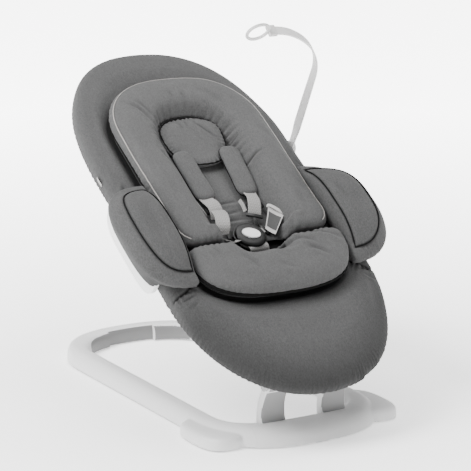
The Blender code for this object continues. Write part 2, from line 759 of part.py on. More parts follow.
def build_cradle(axes, white, steel, dark):
    """Build the sprung cradle: two arms, a web between them and the notched quadrant."""
    outer = cradle_outer_x()
    inner = outer - CRADLE_ARM_WIDTH
    outline = hull_outline((BOUNCE_Y, BOUNCE_Z), CRADLE_ARM_RADIUS, (RECLINE_Y, RECLINE_Z),
                           CRADLE_ARM_RADIUS)
    frame = make_object("cradle_frame", extrude_mesh(outline, -outer, -inner), axes, white)
    arm = make_object("guide_cradle_arm", extrude_mesh(outline, inner, outer), axes, white)
    add_boolean(frame, arm, "UNION")
    slope = (RECLINE_Z - BOUNCE_Z) / (RECLINE_Y - BOUNCE_Y)
    web_low = BOUNCE_Y + 2.6 * CRADLE_ARM_RADIUS
    web_high = RECLINE_Y - 3.2 * CRADLE_ARM_RADIUS
    half_web = 0.5 * CRADLE_WEB_THICKNESS
    web = []
    for y, lift in ((web_low, -half_web), (web_high, -half_web), (web_high, half_web),
                    (web_low, half_web)):
        web.append((y, BOUNCE_Z + slope * (y - BOUNCE_Y) + lift))
    web_item = make_object("guide_cradle_web", extrude_mesh(web, -inner - 0.001, inner + 0.001),
                           axes, white)
    add_boolean(frame, web_item, "UNION")
    neck = hull_outline((web_high - 0.006, BOUNCE_Z + slope * (web_high - BOUNCE_Y)), 0.004,
                        (RECLINE_Y, RECLINE_Z), CRADLE_ARM_RADIUS)
    half_quadrant = 0.5 * QUADRANT_WIDTH
    neck_item = make_object("guide_quadrant_neck",
                            extrude_mesh(neck, -half_quadrant, half_quadrant), axes, white)
    add_boolean(frame, neck_item, "UNION")
    sector = make_object("guide_quadrant",
                         extrude_mesh(quadrant_outline(), -half_quadrant, half_quadrant),
                         axes, white)
    add_boolean(frame, sector, "UNION")
    for name, y, z in (("bounce", BOUNCE_Y, BOUNCE_Z), ("recline", RECLINE_Y, RECLINE_Z)):
        bore = make_object("guide_cradle_bore_" + name,
                           rod_mesh(-outer - 0.01, outer + 0.01, y, z, AXLE_RADIUS + BORE_GAP),
                           axes, white)
        add_boolean(frame, bore, "DIFFERENCE")
    build_axle("bounce_axle", BOUNCE_Y, BOUNCE_Z,
               riser_outer_x() + RUNNING_GAP + AXLE_CAP_THICKNESS, axes, steel, dark)
    for side, suffix in ((-1.0, "left"), (1.0, "right")):
        ends = (side * (inner - SEAT_GAP), side * (inner - SEAT_GAP - SPRING_LENGTH))
        build_spring("bounce_spring_" + suffix, min(ends), max(ends), axes, steel)
    return frame


def quadrant_outline():
    """Return the notched sector round the recline axle, as Y and Z."""
    margin = 1.5 * NOTCH_PITCH
    low = -NOTCH_PITCH * (QUADRANT_NOTCHES - 1) - margin
    steps = 8 * (QUADRANT_NOTCHES + 2)
    points = [(RECLINE_Y - 0.002, RECLINE_Z)]
    for step in range(steps + 1):
        angle = low + (margin - low) * step / steps
        nearest = round(angle / NOTCH_PITCH)
        cut = 0.0
        if -QUADRANT_NOTCHES < nearest <= 0:
            away = (angle - nearest * NOTCH_PITCH) / (0.30 * NOTCH_PITCH)
            cut = NOTCH_RADIUS * max(0.0, 1.0 - away * away)
        radius = QUADRANT_RADIUS - cut
        points.append((RECLINE_Y + radius * math.cos(angle), RECLINE_Z + radius * math.sin(angle)))
    return points


def build_spring(name, low, high, axes, steel):
    """Build one torsion spring's sleeve round the bounce axle."""
    spring = make_object(name, rod_mesh(low, high, BOUNCE_Y, BOUNCE_Z,
                                        AXLE_RADIUS + SPRING_WALL, 24), axes, steel)
    bore = make_object("guide_bore_" + name,
                       rod_mesh(low - 0.01, high + 0.01, BOUNCE_Y, BOUNCE_Z,
                                AXLE_RADIUS + BORE_GAP), axes, steel)
    return add_boolean(spring, bore, "DIFFERENCE")


def tube_inset():
    """Return how far in from the cover's edge the rim tube's middle line runs."""
    return COVER_WALL + SEAT_GAP + TUBE_RADIUS


def pan_inset():
    """Return how far in from the cover's edge the seat pan ends."""
    return tube_inset() + TUBE_RADIUS + SEAT_GAP


def cover_ceiling_z():
    """Return the level of the cover's underside, over the rim tube and the seat pan."""
    return TUBE_Z + TUBE_RADIUS + TUBE_HEADROOM


def pan_top_z():
    """Return the level of the seat pan's upper face."""
    return TUBE_Z + TUBE_RADIUS


def pan_bottom_z():
    """Return the level of the seat pan's lower face."""
    return pan_top_z() - PAN_THICKNESS


def build_rim_tube(axes, steel):
    """Build the closed steel tube inside the cover's edge."""
    outline = cover_outline(tube_inset())
    count = len(outline)
    data = bmesh.new()
    rows = []
    for index in range(count):
        before = Vector(bent(*outline[index - 1], TUBE_Z))
        after = Vector(bent(*outline[(index + 1) % count], TUBE_Z))
        here = Vector(bent(*outline[index], TUBE_Z))
        run = (after - before).normalized()
        outward = run.cross(Vector((0.0, 0.0, 1.0))).normalized()
        up = outward.cross(run).normalized()
        ring = circle(0.0, 0.0, TUBE_RADIUS, 10)
        rows.append([data.verts.new(here + outward * a + up * b) for a, b in ring])
    for index in range(count):
        low = rows[index]
        high = rows[(index + 1) % count]
        for step in range(len(low)):
            after = (step + 1) % len(low)
            data.faces.new((low[step], low[after], high[after], high[step]))
    return make_object("seat_rim_tube", data, axes, steel)


def build_seat_pan(axes, dark):
    """Build the plastic pan that closes the rim tube and carries the fittings."""
    levels = [(step, pan_bottom_z()) for step in reversed(PAN_RING_STEPS)]
    levels += [(0.0, pan_bottom_z()), (0.0, pan_top_z())]
    levels += [(step, pan_top_z()) for step in PAN_RING_STEPS]
    rings = []
    for step, z in levels:
        rings.append([bent(x, y, z) for x, y in cover_outline(pan_inset() + step)])
    return make_object("seat_pan", loft_mesh(rings, bent(0.0, FOOT_BEND_START, pan_bottom_z()),
                                             bent(0.0, FOOT_BEND_START, pan_top_z())), axes, dark)


def build_recline_brackets(axes, dark, steel):
    """Build the two lugs that hang the seat pan on the recline axle, and that axle."""
    inner = cradle_outer_x() + RUNNING_GAP
    outer = bracket_outer_x()
    top = pan_bottom_z() - SEAT_GAP
    half_foot = 0.5 * BRACKET_FOOT_LENGTH
    for side, suffix in ((-1.0, "left"), (1.0, "right")):
        outline = []
        steps = 12
        for step in range(steps + 1):
            angle = math.radians(200.0) + math.radians(140.0) * step / steps
            outline.append((RECLINE_Y + BRACKET_RADIUS * math.cos(angle),
                            RECLINE_Z + BRACKET_RADIUS * math.sin(angle)))
        outline.append((RECLINE_Y + half_foot, top - 0.004))
        outline.append((RECLINE_Y + half_foot, top))
        outline.append((RECLINE_Y - half_foot, top))
        outline.append((RECLINE_Y - half_foot, top - 0.004))
        ends = (side * inner, side * outer)
        lug = make_object("recline_bracket_" + suffix,
                          extrude_mesh(outline, min(ends), max(ends)), axes, dark)
        flange_ends = (side * (inner + 0.001), side * (outer + 0.014))
        flange = make_object("guide_bracket_flange_" + suffix,
                             box_mesh((min(flange_ends), RECLINE_Y - half_foot, top - 0.004),
                                      (max(flange_ends), RECLINE_Y + half_foot, top)), axes, dark)
        bore = make_object("guide_bracket_bore_" + suffix,
                           rod_mesh(-0.1, 0.1, RECLINE_Y, RECLINE_Z, AXLE_RADIUS + BORE_GAP),
                           axes, dark)
        add_boolean(lug, flange, "UNION")
        add_boolean(lug, bore, "DIFFERENCE")
    build_axle("recline_axle", RECLINE_Y, RECLINE_Z,
               bracket_outer_x() + RUNNING_GAP + AXLE_CAP_THICKNESS, axes, steel, dark)


def latch_tip_y():
    """Return the place of the latch's tip, just clear of the quadrant's crests."""
    return RECLINE_Y + QUADRANT_RADIUS + RUNNING_GAP


def build_latch(axes, dark, steel):
    """Build the recline latch: its housing, the sliding bolt with its rod, and the spring."""
    tip = latch_tip_y()
    housing_low = tip + 0.004
    housing_high = housing_low + LATCH_HOUSING_LENGTH
    top = pan_bottom_z() - SEAT_GAP
    half = LATCH_HOUSING_HALF_WIDTH
    housing = make_object("latch_housing",
                          box_mesh((-half, housing_low, RECLINE_Z - 0.008),
                                   (half, housing_high, top)), axes, dark)
    add_bevel(housing, 0.0012)
    bolt_bore = make_object("guide_latch_bore",
                            rod_along_y_mesh(housing_low - 0.01, housing_high + 0.01, 0.0,
                                             RECLINE_Z, [(0.0, LATCH_RADIUS + BORE_GAP)]),
                            axes, dark)
    add_boolean(housing, bolt_bore, "DIFFERENCE")
    chamber_low = housing_low + 0.008
    chamber_high = housing_high - 0.006
    chamber = make_object("guide_latch_chamber",
                          box_mesh((-0.007, chamber_low, RECLINE_Z - 0.02),
                                   (0.007, chamber_high, RECLINE_Z + 0.007)), axes, dark)
    add_boolean(housing, chamber, "DIFFERENCE")
    collar_low = LEVER_PIVOT_Y + LEVER_THICKNESS * 0.5 + LATCH_COLLAR_GAP
    shoulder_low = chamber_low + SEAT_GAP
    radii = [(tip, LATCH_RADIUS), (shoulder_low, LATCH_RADIUS + 0.0024),
             (shoulder_low + 0.003, LATCH_ROD_RADIUS), (collar_low, LATCH_COLLAR_RADIUS),
             (collar_low + LATCH_COLLAR_LENGTH, LATCH_ROD_RADIUS)]
    make_object("latch_bolt", rod_along_y_mesh(tip, collar_low + LATCH_COLLAR_LENGTH + 0.004, 0.0,
                                               RECLINE_Z, radii, 12), axes, steel)
    spring_low = shoulder_low + 0.003 + LATCH_TRAVEL + 0.001
    spring = make_object("latch_spring",
                         rod_along_y_mesh(spring_low, chamber_high - SEAT_GAP, 0.0, RECLINE_Z,
                                          [(0.0, LATCH_RADIUS + 0.0014)], 14), axes, steel)
    spring_bore = make_object("guide_latch_spring_bore",
                              rod_along_y_mesh(spring_low - 0.01, chamber_high + 0.01, 0.0,
                                               RECLINE_Z, [(0.0, LATCH_ROD_RADIUS + 0.0006)], 14),
                              axes, steel)
    add_boolean(spring, spring_bore, "DIFFERENCE")


def lever_pivot_z():
    """Return the height of the recline lever's hinge pin."""
    return RECLINE_Z + LEVER_ARM


def build_recline_lever(axes, dark, white, steel):
    """Build the squeeze lever at the head end, its pin and its hinge block."""
    pin_z = lever_pivot_z()
    pin_y = LEVER_PIVOT_Y
    half = 0.5 * LEVER_THICKNESS
    paddle = box_mesh((-0.5 * LEVER_WIDTH, pin_y - half, pin_z - half - 0.001),
                      (0.5 * LEVER_WIDTH, pin_y + LEVER_LENGTH, pin_z + half - 0.001))
    lever = make_object("recline_lever", paddle, axes, white)
    add_bevel(lever, 0.0022)
    finger_reach = LEVER_ARM + LEVER_FORK_BELOW_ROD
    fork = make_object("guide_lever_fork",
                       box_mesh((-0.009, pin_y - half + 0.0002, pin_z - finger_reach),
                                (0.009, pin_y + half - 0.0002, pin_z)), axes, white)
    slot = make_object("guide_lever_slot",
                       box_mesh((-LATCH_ROD_RADIUS - 0.0008, pin_y - 0.01, pin_z - 0.04),
                                (LATCH_ROD_RADIUS + 0.0008, pin_y + 0.01,
                                 RECLINE_Z + LATCH_ROD_RADIUS + 0.0022)), axes, white)
    pin_bore = make_object("guide_lever_pin_bore",
                           rod_mesh(-0.1, 0.1, pin_y, pin_z, LEVER_PIN_RADIUS + BORE_GAP, 20),
                           axes, white)
    add_boolean(lever, fork, "UNION")
    add_boolean(lever, slot, "DIFFERENCE")
    add_boolean(lever, pin_bore, "DIFFERENCE")
    top = pan_bottom_z() - SEAT_GAP
    block_reach = 0.5 * LEVER_WIDTH + 0.010
    for side, suffix in ((-1.0, "left"), (1.0, "right")):
        ends = (side * (0.5 * LEVER_WIDTH + RUNNING_GAP), side * block_reach)
        block = make_object("lever_hinge_" + suffix,
                            box_mesh((min(ends), pin_y - 0.008, pin_z - 0.0075),
                                     (max(ends), pin_y + 0.008, top)), axes, dark)
        add_bevel(block, 0.001)
        bore = make_object("guide_lever_hinge_bore_" + suffix,
                           rod_mesh(-0.1, 0.1, pin_y, pin_z, LEVER_PIN_RADIUS + BORE_GAP, 20),
                           axes, dark)
        add_boolean(block, bore, "DIFFERENCE")
    make_object("lever_pin", rod_mesh(-block_reach, block_reach, pin_y, pin_z, LEVER_PIN_RADIUS, 20),
                axes, steel)


def blend(first, second, share):
    """Return an outline part of the way from one outline to another."""
    mixed = []
    for one, two in zip(first, second):
        mixed.append((one[0] + (two[0] - one[0]) * share, one[1] + (two[1] - one[1]) * share))
    return mixed


def build_seat_cover(axes, fabric):
    """Build the padded seat cover that wraps the rim tube, open underneath."""
    ceiling = cover_ceiling_z()
    bottom = COVER_EDGE_Z - COVER_UNDERSIDE
    crown = COVER_EDGE_Z + COVER_CROWN
    levels = [(pan_inset() + step, ceiling) for step in reversed(PAN_RING_STEPS)]
    levels += [(pan_inset(), ceiling), (COVER_WALL, ceiling), (COVER_WALL, bottom + 0.002),
               (0.0095, bottom), (0.0035, bottom + 0.005), (0.0006, bottom + 0.015),
               (0.0, COVER_EDGE_Z), (0.0035, COVER_EDGE_Z + 0.009),
               (0.012, crown - 0.0025), (0.026, crown)]
    rings = []
    for inset, z in levels:
        rings.append([bent(x, y, z) for x, y in cover_outline(inset)])
    shoulder = cover_outline(0.026)
    dish = insert_outline(-0.004)
    for share, lift in ((0.35, COVER_SHOULDER_LIFT), (0.70, 0.0015), (1.0, -0.003)):
        ring = []
        for x, y in blend(shoulder, dish, share):
            puff = 0.006 * smooth_share((-y - 0.02) / 0.06) * math.sin(math.pi * share)
            ring.append(bent(x, y, crown + lift + puff))
        rings.append(ring)
    rings.append([bent(x, y, COVER_DISH_Z) for x, y in insert_outline(0.010)])
    rings.append([bent(x, y, COVER_DISH_Z) for x, y in insert_outline(0.050)])
    return make_object("seat_cover",
                       loft_mesh(rings, bent(0.0, FOOT_BEND_START, ceiling),
                                 Vector((0.0, INSERT_SPLIT_Y, COVER_DISH_Z))),
                       axes, fabric, 60.0)


def insert_edge_levels():
    """Return the insert's side as pairs of an inset and a level, from its base to its crown."""
    base = COVER_DISH_Z + SEAT_GAP
    edge = INSERT_EDGE_Z
    crown = edge + INSERT_CROWN
    return [(0.032, base), (0.016, base + 0.004), (0.005, edge - 0.015), (0.0, edge - 0.004),
            (0.0012, edge + 0.004), (0.007, edge + 0.011), (0.017, crown - 0.002),
            (0.030, crown)]


def upper_insert_outline(inset):
    """Return the outline of the insert's upper part."""
    foot = INSERT_SPLIT_Y + 0.5 * INSERT_SPLIT_GAP + inset
    return egg_outline(INSERT_HALF_WIDTH - inset, foot, INSERT_SPLIT_Y + INSERT_CORNER_LENGTH,
                       INSERT_HEAD_STRAIGHT, INSERT_HEAD_END - inset, INSERT_CORNER_POWER,
                       INSERT_HEAD_POWER, foot_flat=INSERT_FLAT - inset)


def hollow_outline(inset):
    """Return the outline of the body hollow in the insert's upper part."""
    return egg_outline(HOLLOW_HALF_WIDTH - inset, HOLLOW_FOOT_END + inset, HOLLOW_FOOT_STRAIGHT,
                       HOLLOW_HEAD_STRAIGHT, HOLLOW_HEAD_END - inset, INSERT_CORNER_POWER,
                       HOLLOW_POWER, foot_flat=HOLLOW_FLAT - inset)


def waist_dip(x, y):
    """Return 1 where the insert keeps its height, falling to 0 in the waist's middle."""
    near_split = 1.0 - smooth_share((y - INSERT_SPLIT_Y - 0.050) / 0.040)
    near_middle = 1.0 - smooth_share((abs(x) - WAIST_HALF_WIDTH) / 0.024)
    return 1.0 - near_split * near_middle


def build_insert_upper(axes, fabric):
    """Build the insert's upper part: a padded rim round a deep body hollow."""
    crown = INSERT_EDGE_Z + INSERT_CROWN
    rings = []
    for inset, z in insert_edge_levels():
        ring = []
        for x, y in upper_insert_outline(inset):
            keep = waist_dip(x, y)
            low = min(z, INSERT_FLOOR_Z)
            ring.append(Vector((x, y, low + (z - low) * keep)))
        rings.append(ring)
    rim = upper_insert_outline(0.030)
    steps = [(0.45, crown - 0.001), (0.80, crown - 0.008)]
    for share, z in steps:
        ring = []
        for x, y in blend(rim, hollow_outline(0.0), share):
            keep = waist_dip(x, y)
            ring.append(Vector((x, y, INSERT_FLOOR_Z + (z - INSERT_FLOOR_Z) * keep)))
        rings.append(ring)
    for inset, z in ((0.0, crown - 0.020), (0.007, crown - 0.032), (0.016, INSERT_FLOOR_Z + 0.002),
                     (0.030, INSERT_FLOOR_Z)):
        ring = []
        for x, y in hollow_outline(inset):
            keep = waist_dip(x, y)
            ring.append(Vector((x, y, INSERT_FLOOR_Z + (z - INSERT_FLOOR_Z) * keep)))
        rings.append(ring)
    base = COVER_DISH_Z + SEAT_GAP
    return make_object("insert_upper",
                       loft_mesh(rings, Vector((0.0, 0.240, base)),
                                 Vector((0.0, 0.240, INSERT_FLOOR_Z))), axes, fabric, 60.0)


def lower_insert_outline(inset):
    """Return the outline of the insert's lower part."""
    head = INSERT_SPLIT_Y - 0.5 * INSERT_SPLIT_GAP - inset
    return egg_outline(INSERT_HALF_WIDTH - inset, INSERT_FOOT_END + inset, INSERT_FOOT_STRAIGHT,
                       INSERT_FOOT_STRAIGHT + 0.001, head, INSERT_FOOT_POWER, INSERT_CORNER_POWER,
                       side_steps=1, head_flat=INSERT_FLAT - inset)


def build_insert_lower(axes, fabric):
    """Build the insert's lower part, a half-round cushion under the legs."""
    rings = []
    levels = insert_edge_levels() + [(0.042, INSERT_EDGE_Z + INSERT_CROWN - 0.001)]
    for inset, z in levels:
        ring = []
        for x, y in lower_insert_outline(inset):
            near_split = smooth_share((y - 0.030) / 0.040)
            near_middle = 1.0 - smooth_share((abs(x) - 0.034) / 0.030)
            low = min(z, INSERT_FLOOR_Z)
            keep = 1.0 - near_split * near_middle
            ring.append(bent(x, y, low + (z - low) * keep))
        rings.append(ring)
    base = COVER_DISH_Z + SEAT_GAP
    top = INSERT_EDGE_Z + INSERT_CROWN - 0.003
    return make_object("insert_lower",
                       loft_mesh(rings, Vector((0.0, 0.012, base)), Vector((0.0, 0.004, top))),
                       axes, fabric, 60.0)


def build_head_pad(axes, fabric):
    """Build the small head pad that lies in the hollow's head end."""
    base = INSERT_FLOOR_Z + SEAT_GAP + 0.0005
    middle = 0.5 * (HEAD_PAD_FOOT_END + HEAD_PAD_HEAD_END)
    rings = []
    for inset, share in ((0.016, 0.0), (0.010, 0.08), (0.003, 0.45), (0.0, 0.68), (0.004, 0.86),
                         (0.013, 1.0), (0.030, 0.96)):
        outline = egg_outline(HEAD_PAD_HALF_WIDTH - inset, HEAD_PAD_FOOT_END + 0.6 * inset,
                              middle + 0.012, middle + 0.014, HEAD_PAD_HEAD_END - inset, 2.4, 2.3,
                              quarter_steps=7, side_steps=1)
        rings.append([Vector((x, y, base + HEAD_PAD_HEIGHT * share)) for x, y in outline])
    return make_object("head_pad",
                       loft_mesh(rings, None, Vector((0.0, middle, base + 0.9 * HEAD_PAD_HEIGHT))),
                       axes, fabric, 60.0)


def build_side_cheek(side, suffix, axes, white):
    """Build one white side cheek with the flange that bolts it under the seat pan."""
    outline = []
    steps = 18
    for step in range(steps + 1):
        angle = math.pi * step / steps
        reach = math.copysign(abs(math.cos(angle)) ** (2.0 / CHEEK_POWER), math.cos(angle))
        depth = math.sin(angle) ** (2.0 / CHEEK_POWER) if 0 < step < steps else 0.0
        outline.append((CHEEK_CENTRE_Y + CHEEK_HALF_LENGTH * reach,
                        CHEEK_TOP_Z - CHEEK_DEPTH * depth))
    inner = COVER_HALF_WIDTH + CHEEK_STAND_OFF
    outer = inner + CHEEK_THICKNESS
    ends = (side * inner, side * outer)
    cheek = make_object("side_cheek_" + suffix, extrude_mesh(outline, min(ends), max(ends)),
                        axes, white)
    half = 0.5 * CHEEK_FLANGE_LENGTH
    flange_top = COVER_EDGE_Z - COVER_UNDERSIDE - SEAT_GAP
    flange_low = flange_top - CHEEK_FLANGE_THICKNESS
    reach = COVER_HALF_WIDTH - CHEEK_FLANGE_REACH
    ends = (side * reach, side * (inner + 0.5 * CHEEK_THICKNESS))
    flange = make_object("guide_cheek_flange_" + suffix,
                         box_mesh((min(ends), CHEEK_CENTRE_Y - half, flange_low),
                                  (max(ends), CHEEK_CENTRE_Y + half, flange_top)), axes, white)
    pad_outer = COVER_HALF_WIDTH - tube_inset() - TUBE_RADIUS - 0.002
    ends = (side * reach, side * pad_outer)
    pad = make_object("guide_cheek_pad_" + suffix,
                      box_mesh((min(ends), CHEEK_CENTRE_Y - half, flange_low + 0.001),
                               (max(ends), CHEEK_CENTRE_Y + half, pan_bottom_z() - SEAT_GAP)),
                      axes, white)
    add_boolean(cheek, flange, "UNION")
    add_boolean(cheek, pad, "UNION")
    return cheek


def bolster_outline(inner_x, breadth, half_length, power, steps=14):
    """Return a D-shaped outline: straight on its inner side, bowed on its outer side."""
    points = []
    for step in range(steps + 1):
        angle = math.pi * step / steps - 0.5 * math.pi
        along = math.copysign(abs(math.sin(angle)) ** (2.0 / power), math.sin(angle))
        across = abs(math.cos(angle)) ** (2.0 / power) if 0 < step < steps else 0.0
        points.append((inner_x + breadth * across, BOLSTER_CENTRE_Y + half_length * along))
    for step in range(1, 6):
        along = 1.0 - 2.0 * step / 6.0
        points.append((inner_x, BOLSTER_CENTRE_Y + half_length * along))
    return points


def build_bolster(side, suffix, axes, fabric, cover_guide):
    """Build one side bolster, cut to sit over the cover's edge and its cheek."""
    seam_z = BOLSTER_SEAM_Z
    wide = BOLSTER_SEAM_BREADTH + BOLSTER_BULGE
    long = BOLSTER_SEAM_HALF_LENGTH
    bottom = BOLSTER_BOTTOM_Z
    levels = [(0.004, wide - 0.037, long + 0.004, 3.0, bottom),
              (0.002, wide - 0.029, long + 0.010, 3.0, bottom + 0.006),
              (0.0, wide - 0.0155, long + 0.016, 2.9, bottom + 0.022),
              (0.0, wide - 0.005, long + 0.0205, 2.8, bottom + 0.038),
              (0.0, wide, long + 0.021, 2.8, seam_z - 0.027),
              (0.0, wide - 0.004, long + 0.015, 2.7, seam_z - 0.015),
              (0.004, BOLSTER_SEAM_BREADTH + 0.004, long + 0.005, 2.6, seam_z - 0.004),
              (0.008, BOLSTER_SEAM_BREADTH - 0.008, long, 2.6, seam_z),
              (0.018, BOLSTER_SEAM_BREADTH - 0.026, long - 0.014, 2.5, seam_z + 0.7 * BOLSTER_CROWN),
              (0.030, BOLSTER_SEAM_BREADTH - 0.046, long - 0.036, 2.3, seam_z + BOLSTER_CROWN)]
    start_z = INSERT_EDGE_Z - 0.008
    rings = []
    for shift, breadth, half_length, power, z in levels:
        ring = []
        outline = bolster_outline(BOLSTER_INNER_X + shift, breadth, half_length, power)
        for x, y in outline:
            share = min(1.0, abs(y - BOLSTER_CENTRE_Y) / long)
            weight = max(0.0, (z - start_z) / (seam_z - start_z))
            ring.append(Vector((side * x, y, z - BOLSTER_END_DROP * weight * share ** 3)))
        rings.append(ring)
    bolster = make_object("bolster_" + suffix, loft_mesh(rings), axes, fabric, 60.0)
    return add_boolean(bolster, cover_guide, "DIFFERENCE")


def build_bolster_guide(axes, fabric):
    """Build the solid that both bolsters are cut with: the cover's edge and the cheeks."""
    grow = CHEEK_STAND_OFF + CHEEK_THICKNESS + BOLSTER_SLOT
    outline = cover_outline(-grow)
    low = COVER_EDGE_Z - 0.10
    high = COVER_EDGE_Z + COVER_CROWN + COVER_SHOULDER_LIFT + SEAT_GAP
    return make_object("guide_cover_edge", extrude_mesh(outline, low, high, axis="Z"), axes, fabric)


def pad_axes(side):
    """Return the axes of one shoulder pad: X across it, Y along it, Z out of its face."""
    place = Matrix.Translation((side * SHOULDER_PAD_CENTRE_X, SHOULDER_PAD_CENTRE_Y,
                                SHOULDER_PAD_CENTRE_Z))
    splay = Matrix.Rotation(-side * SHOULDER_PAD_SPLAY, 4, "Z")
    tilt = Matrix.Rotation(SHOULDER_PAD_TILT, 4, "X")
    return place @ splay @ tilt


def build_shoulder_pad(side, suffix, axes, fabric):
    """Build one shoulder pad, a long cushion with a channel for its strap."""
    rings = []
    half_length = 0.5 * SHOULDER_PAD_LENGTH
    half_thickness = 0.5 * SHOULDER_PAD_THICKNESS
    for inset, share in ((0.013, -1.0), (0.006, -0.86), (0.0015, -0.45), (0.0, 0.0),
                         (0.0015, 0.45), (0.006, 0.86), (0.013, 1.0)):
        outline = egg_outline(0.5 * SHOULDER_PAD_WIDTH - inset, -half_length + inset,
                              -half_length + 0.022, half_length - 0.022, half_length - inset,
                              2.6, 2.6, quarter_steps=5, side_steps=2)
        rings.append([Vector((x, y, half_thickness * share)) for x, y in outline])
    pad = make_object("shoulder_pad_" + suffix, loft_mesh(rings), axes, fabric, 60.0)
    pad.matrix_local = pad_axes(side)
    half_slot = 0.5 * WEB_WIDTH + RUNNING_GAP
    half_height = 0.5 * WEB_THICKNESS + RUNNING_GAP
    channel = make_object("guide_pad_channel_" + suffix,
                          box_mesh((-half_slot, -SHOULDER_PAD_LENGTH, -half_height),
                                   (half_slot, SHOULDER_PAD_LENGTH, half_height)), axes, fabric)
    channel.matrix_local = pad_axes(side)
    return add_boolean(pad, channel, "DIFFERENCE")


def strip_mesh(points, width, thickness, across):
    """Return a flat strap along a row of points, its width along one given direction."""
    rings = []
    count = len(points)
    for index in range(count):
        run = points[min(index + 1, count - 1)] - points[max(index - 1, 0)]
        lift = across.cross(run).normalized() * (0.5 * thickness)
        edge = across * (0.5 * width)
        here = points[index]
        rings.append([here - edge - lift, here + edge - lift, here + edge + lift,
                      here - edge + lift])
    return loft_mesh(rings)


def build_shoulder_strap(side, suffix, axes, webbing):
    """Build one shoulder strap, straight through its pad and down to the tongue."""
    frame = pad_axes(side)
    points = [frame @ Vector((0.0, STRAP_TOP * (1.0 - share) + STRAP_BOTTOM * share, 0.0))
              for share in (0.0, 0.5, 1.0)]
    across = (frame.to_3x3() @ Vector((1.0, 0.0, 0.0))).normalized()
    return make_object("shoulder_strap_" + suffix,
                       strip_mesh(points, WEB_WIDTH, WEB_THICKNESS, across), axes, webbing)


def build_adjuster(side, suffix, axes, dark):
    """Build one ladder-lock adjuster on its shoulder strap."""
    half_x = 0.5 * ADJUSTER_WIDTH
    half_y = 0.5 * ADJUSTER_LENGTH
    half_z = 0.5 * ADJUSTER_THICKNESS
    adjuster = make_object("strap_adjuster_" + suffix,
                           box_mesh((-half_x, ADJUSTER_PLACE - half_y, -half_z),
                                    (half_x, ADJUSTER_PLACE + half_y, half_z)), axes, dark)
    adjuster.matrix_local = pad_axes(side)
    add_bevel(adjuster, 0.001)
    half_slot = 0.5 * WEB_WIDTH + SEAT_GAP
    half_height = 0.5 * WEB_THICKNESS + SEAT_GAP
    channel = make_object("guide_adjuster_channel_" + suffix,
                          box_mesh((-half_slot, -SHOULDER_PAD_LENGTH, -half_height),
                                   (half_slot, 0.0, half_height)), axes, dark)
    channel.matrix_local = pad_axes(side)
    return add_boolean(adjuster, channel, "DIFFERENCE")


def tongue_axes(side):
    """Return one tongue's axes: Y points from the buckle's middle out along the tongue."""
    height = BUCKLE_BOTTOM_Z + 0.30 * BUCKLE_THICKNESS
    place = Matrix.Translation((0.0, BUCKLE_CENTRE_Y, height))
    return place @ Matrix.Rotation(-side * TONGUE_ANGLE, 4, "Z")


def build_tongue(side, suffix, axes, dark):
    """Build one tongue that plugs into the buckle, with the bar that its straps go round."""
    half = 0.5 * TONGUE_WIDTH
    thick = 0.5 * TONGUE_THICKNESS
    start = BUCKLE_RADIUS - TONGUE_DEPTH
    tongue = make_object("buckle_tongue_" + suffix,
                         box_mesh((-half, start, -thick), (half, TONGUE_REACH, thick)), axes, dark)
    tongue.matrix_local = tongue_axes(side)
    bar_half = 0.5 * TONGUE_BAR_WIDTH
    bar = make_object("guide_tongue_bar_" + suffix,
                      box_mesh((-bar_half, TONGUE_REACH - TONGUE_BAR_LENGTH, -thick - 0.0004),
                               (bar_half, TONGUE_REACH - 0.0002, thick + 0.0004)), axes, dark)
    bar.matrix_local = tongue_axes(side)
    return add_boolean(tongue, bar, "UNION")


def build_hip_strap(side, suffix, axes, webbing):
    """Build one hip strap, a loop over the tongue's bar that ends on the insert's floor."""
    tip = tongue_axes(side) @ Vector((side * (0.5 * TONGUE_BAR_WIDTH + HIP_STRAP_STAND_OFF),
                                      TONGUE_REACH - 0.5 * TONGUE_BAR_LENGTH, 0.0))
    rest_z = INSERT_FLOOR_Z + 2.0 * SEAT_GAP + 0.5 * WEB_THICKNESS
    start = Vector((tip.x, tip.y, rest_z + 0.5 * WEB_THICKNESS))
    end = Vector((side * HIP_STRAP_END_X, HIP_STRAP_END_Y, rest_z))
    points = []
    steps = 8
    for step in range(steps + 1):
        share = step / steps
        bulge = math.sin(math.pi * share)
        points.append(start.lerp(end, share)
                      + Vector((0.0, -0.3 * HIP_STRAP_BULGE * bulge, HIP_STRAP_BULGE * bulge)))
    points.append(end + Vector((0.0, HIP_STRAP_FLAT_END, 0.0)))
    return make_object("hip_strap_" + suffix,
                       strip_mesh(points, HIP_STRAP_WIDTH, WEB_THICKNESS,
                                  Vector((1.0, 0.0, 0.0))), axes, webbing)


def oval(half_width, half_length, steps=28, turn=0.0):
    """Return an oval about the buckle's middle, as X and Y.

    turn moves the points on by a share of one step.
    """
    points = []
    for step in range(steps):
        angle = 2.0 * math.pi * (step + turn) / steps
        points.append((half_width * math.cos(angle), half_length * math.sin(angle)))
    return points


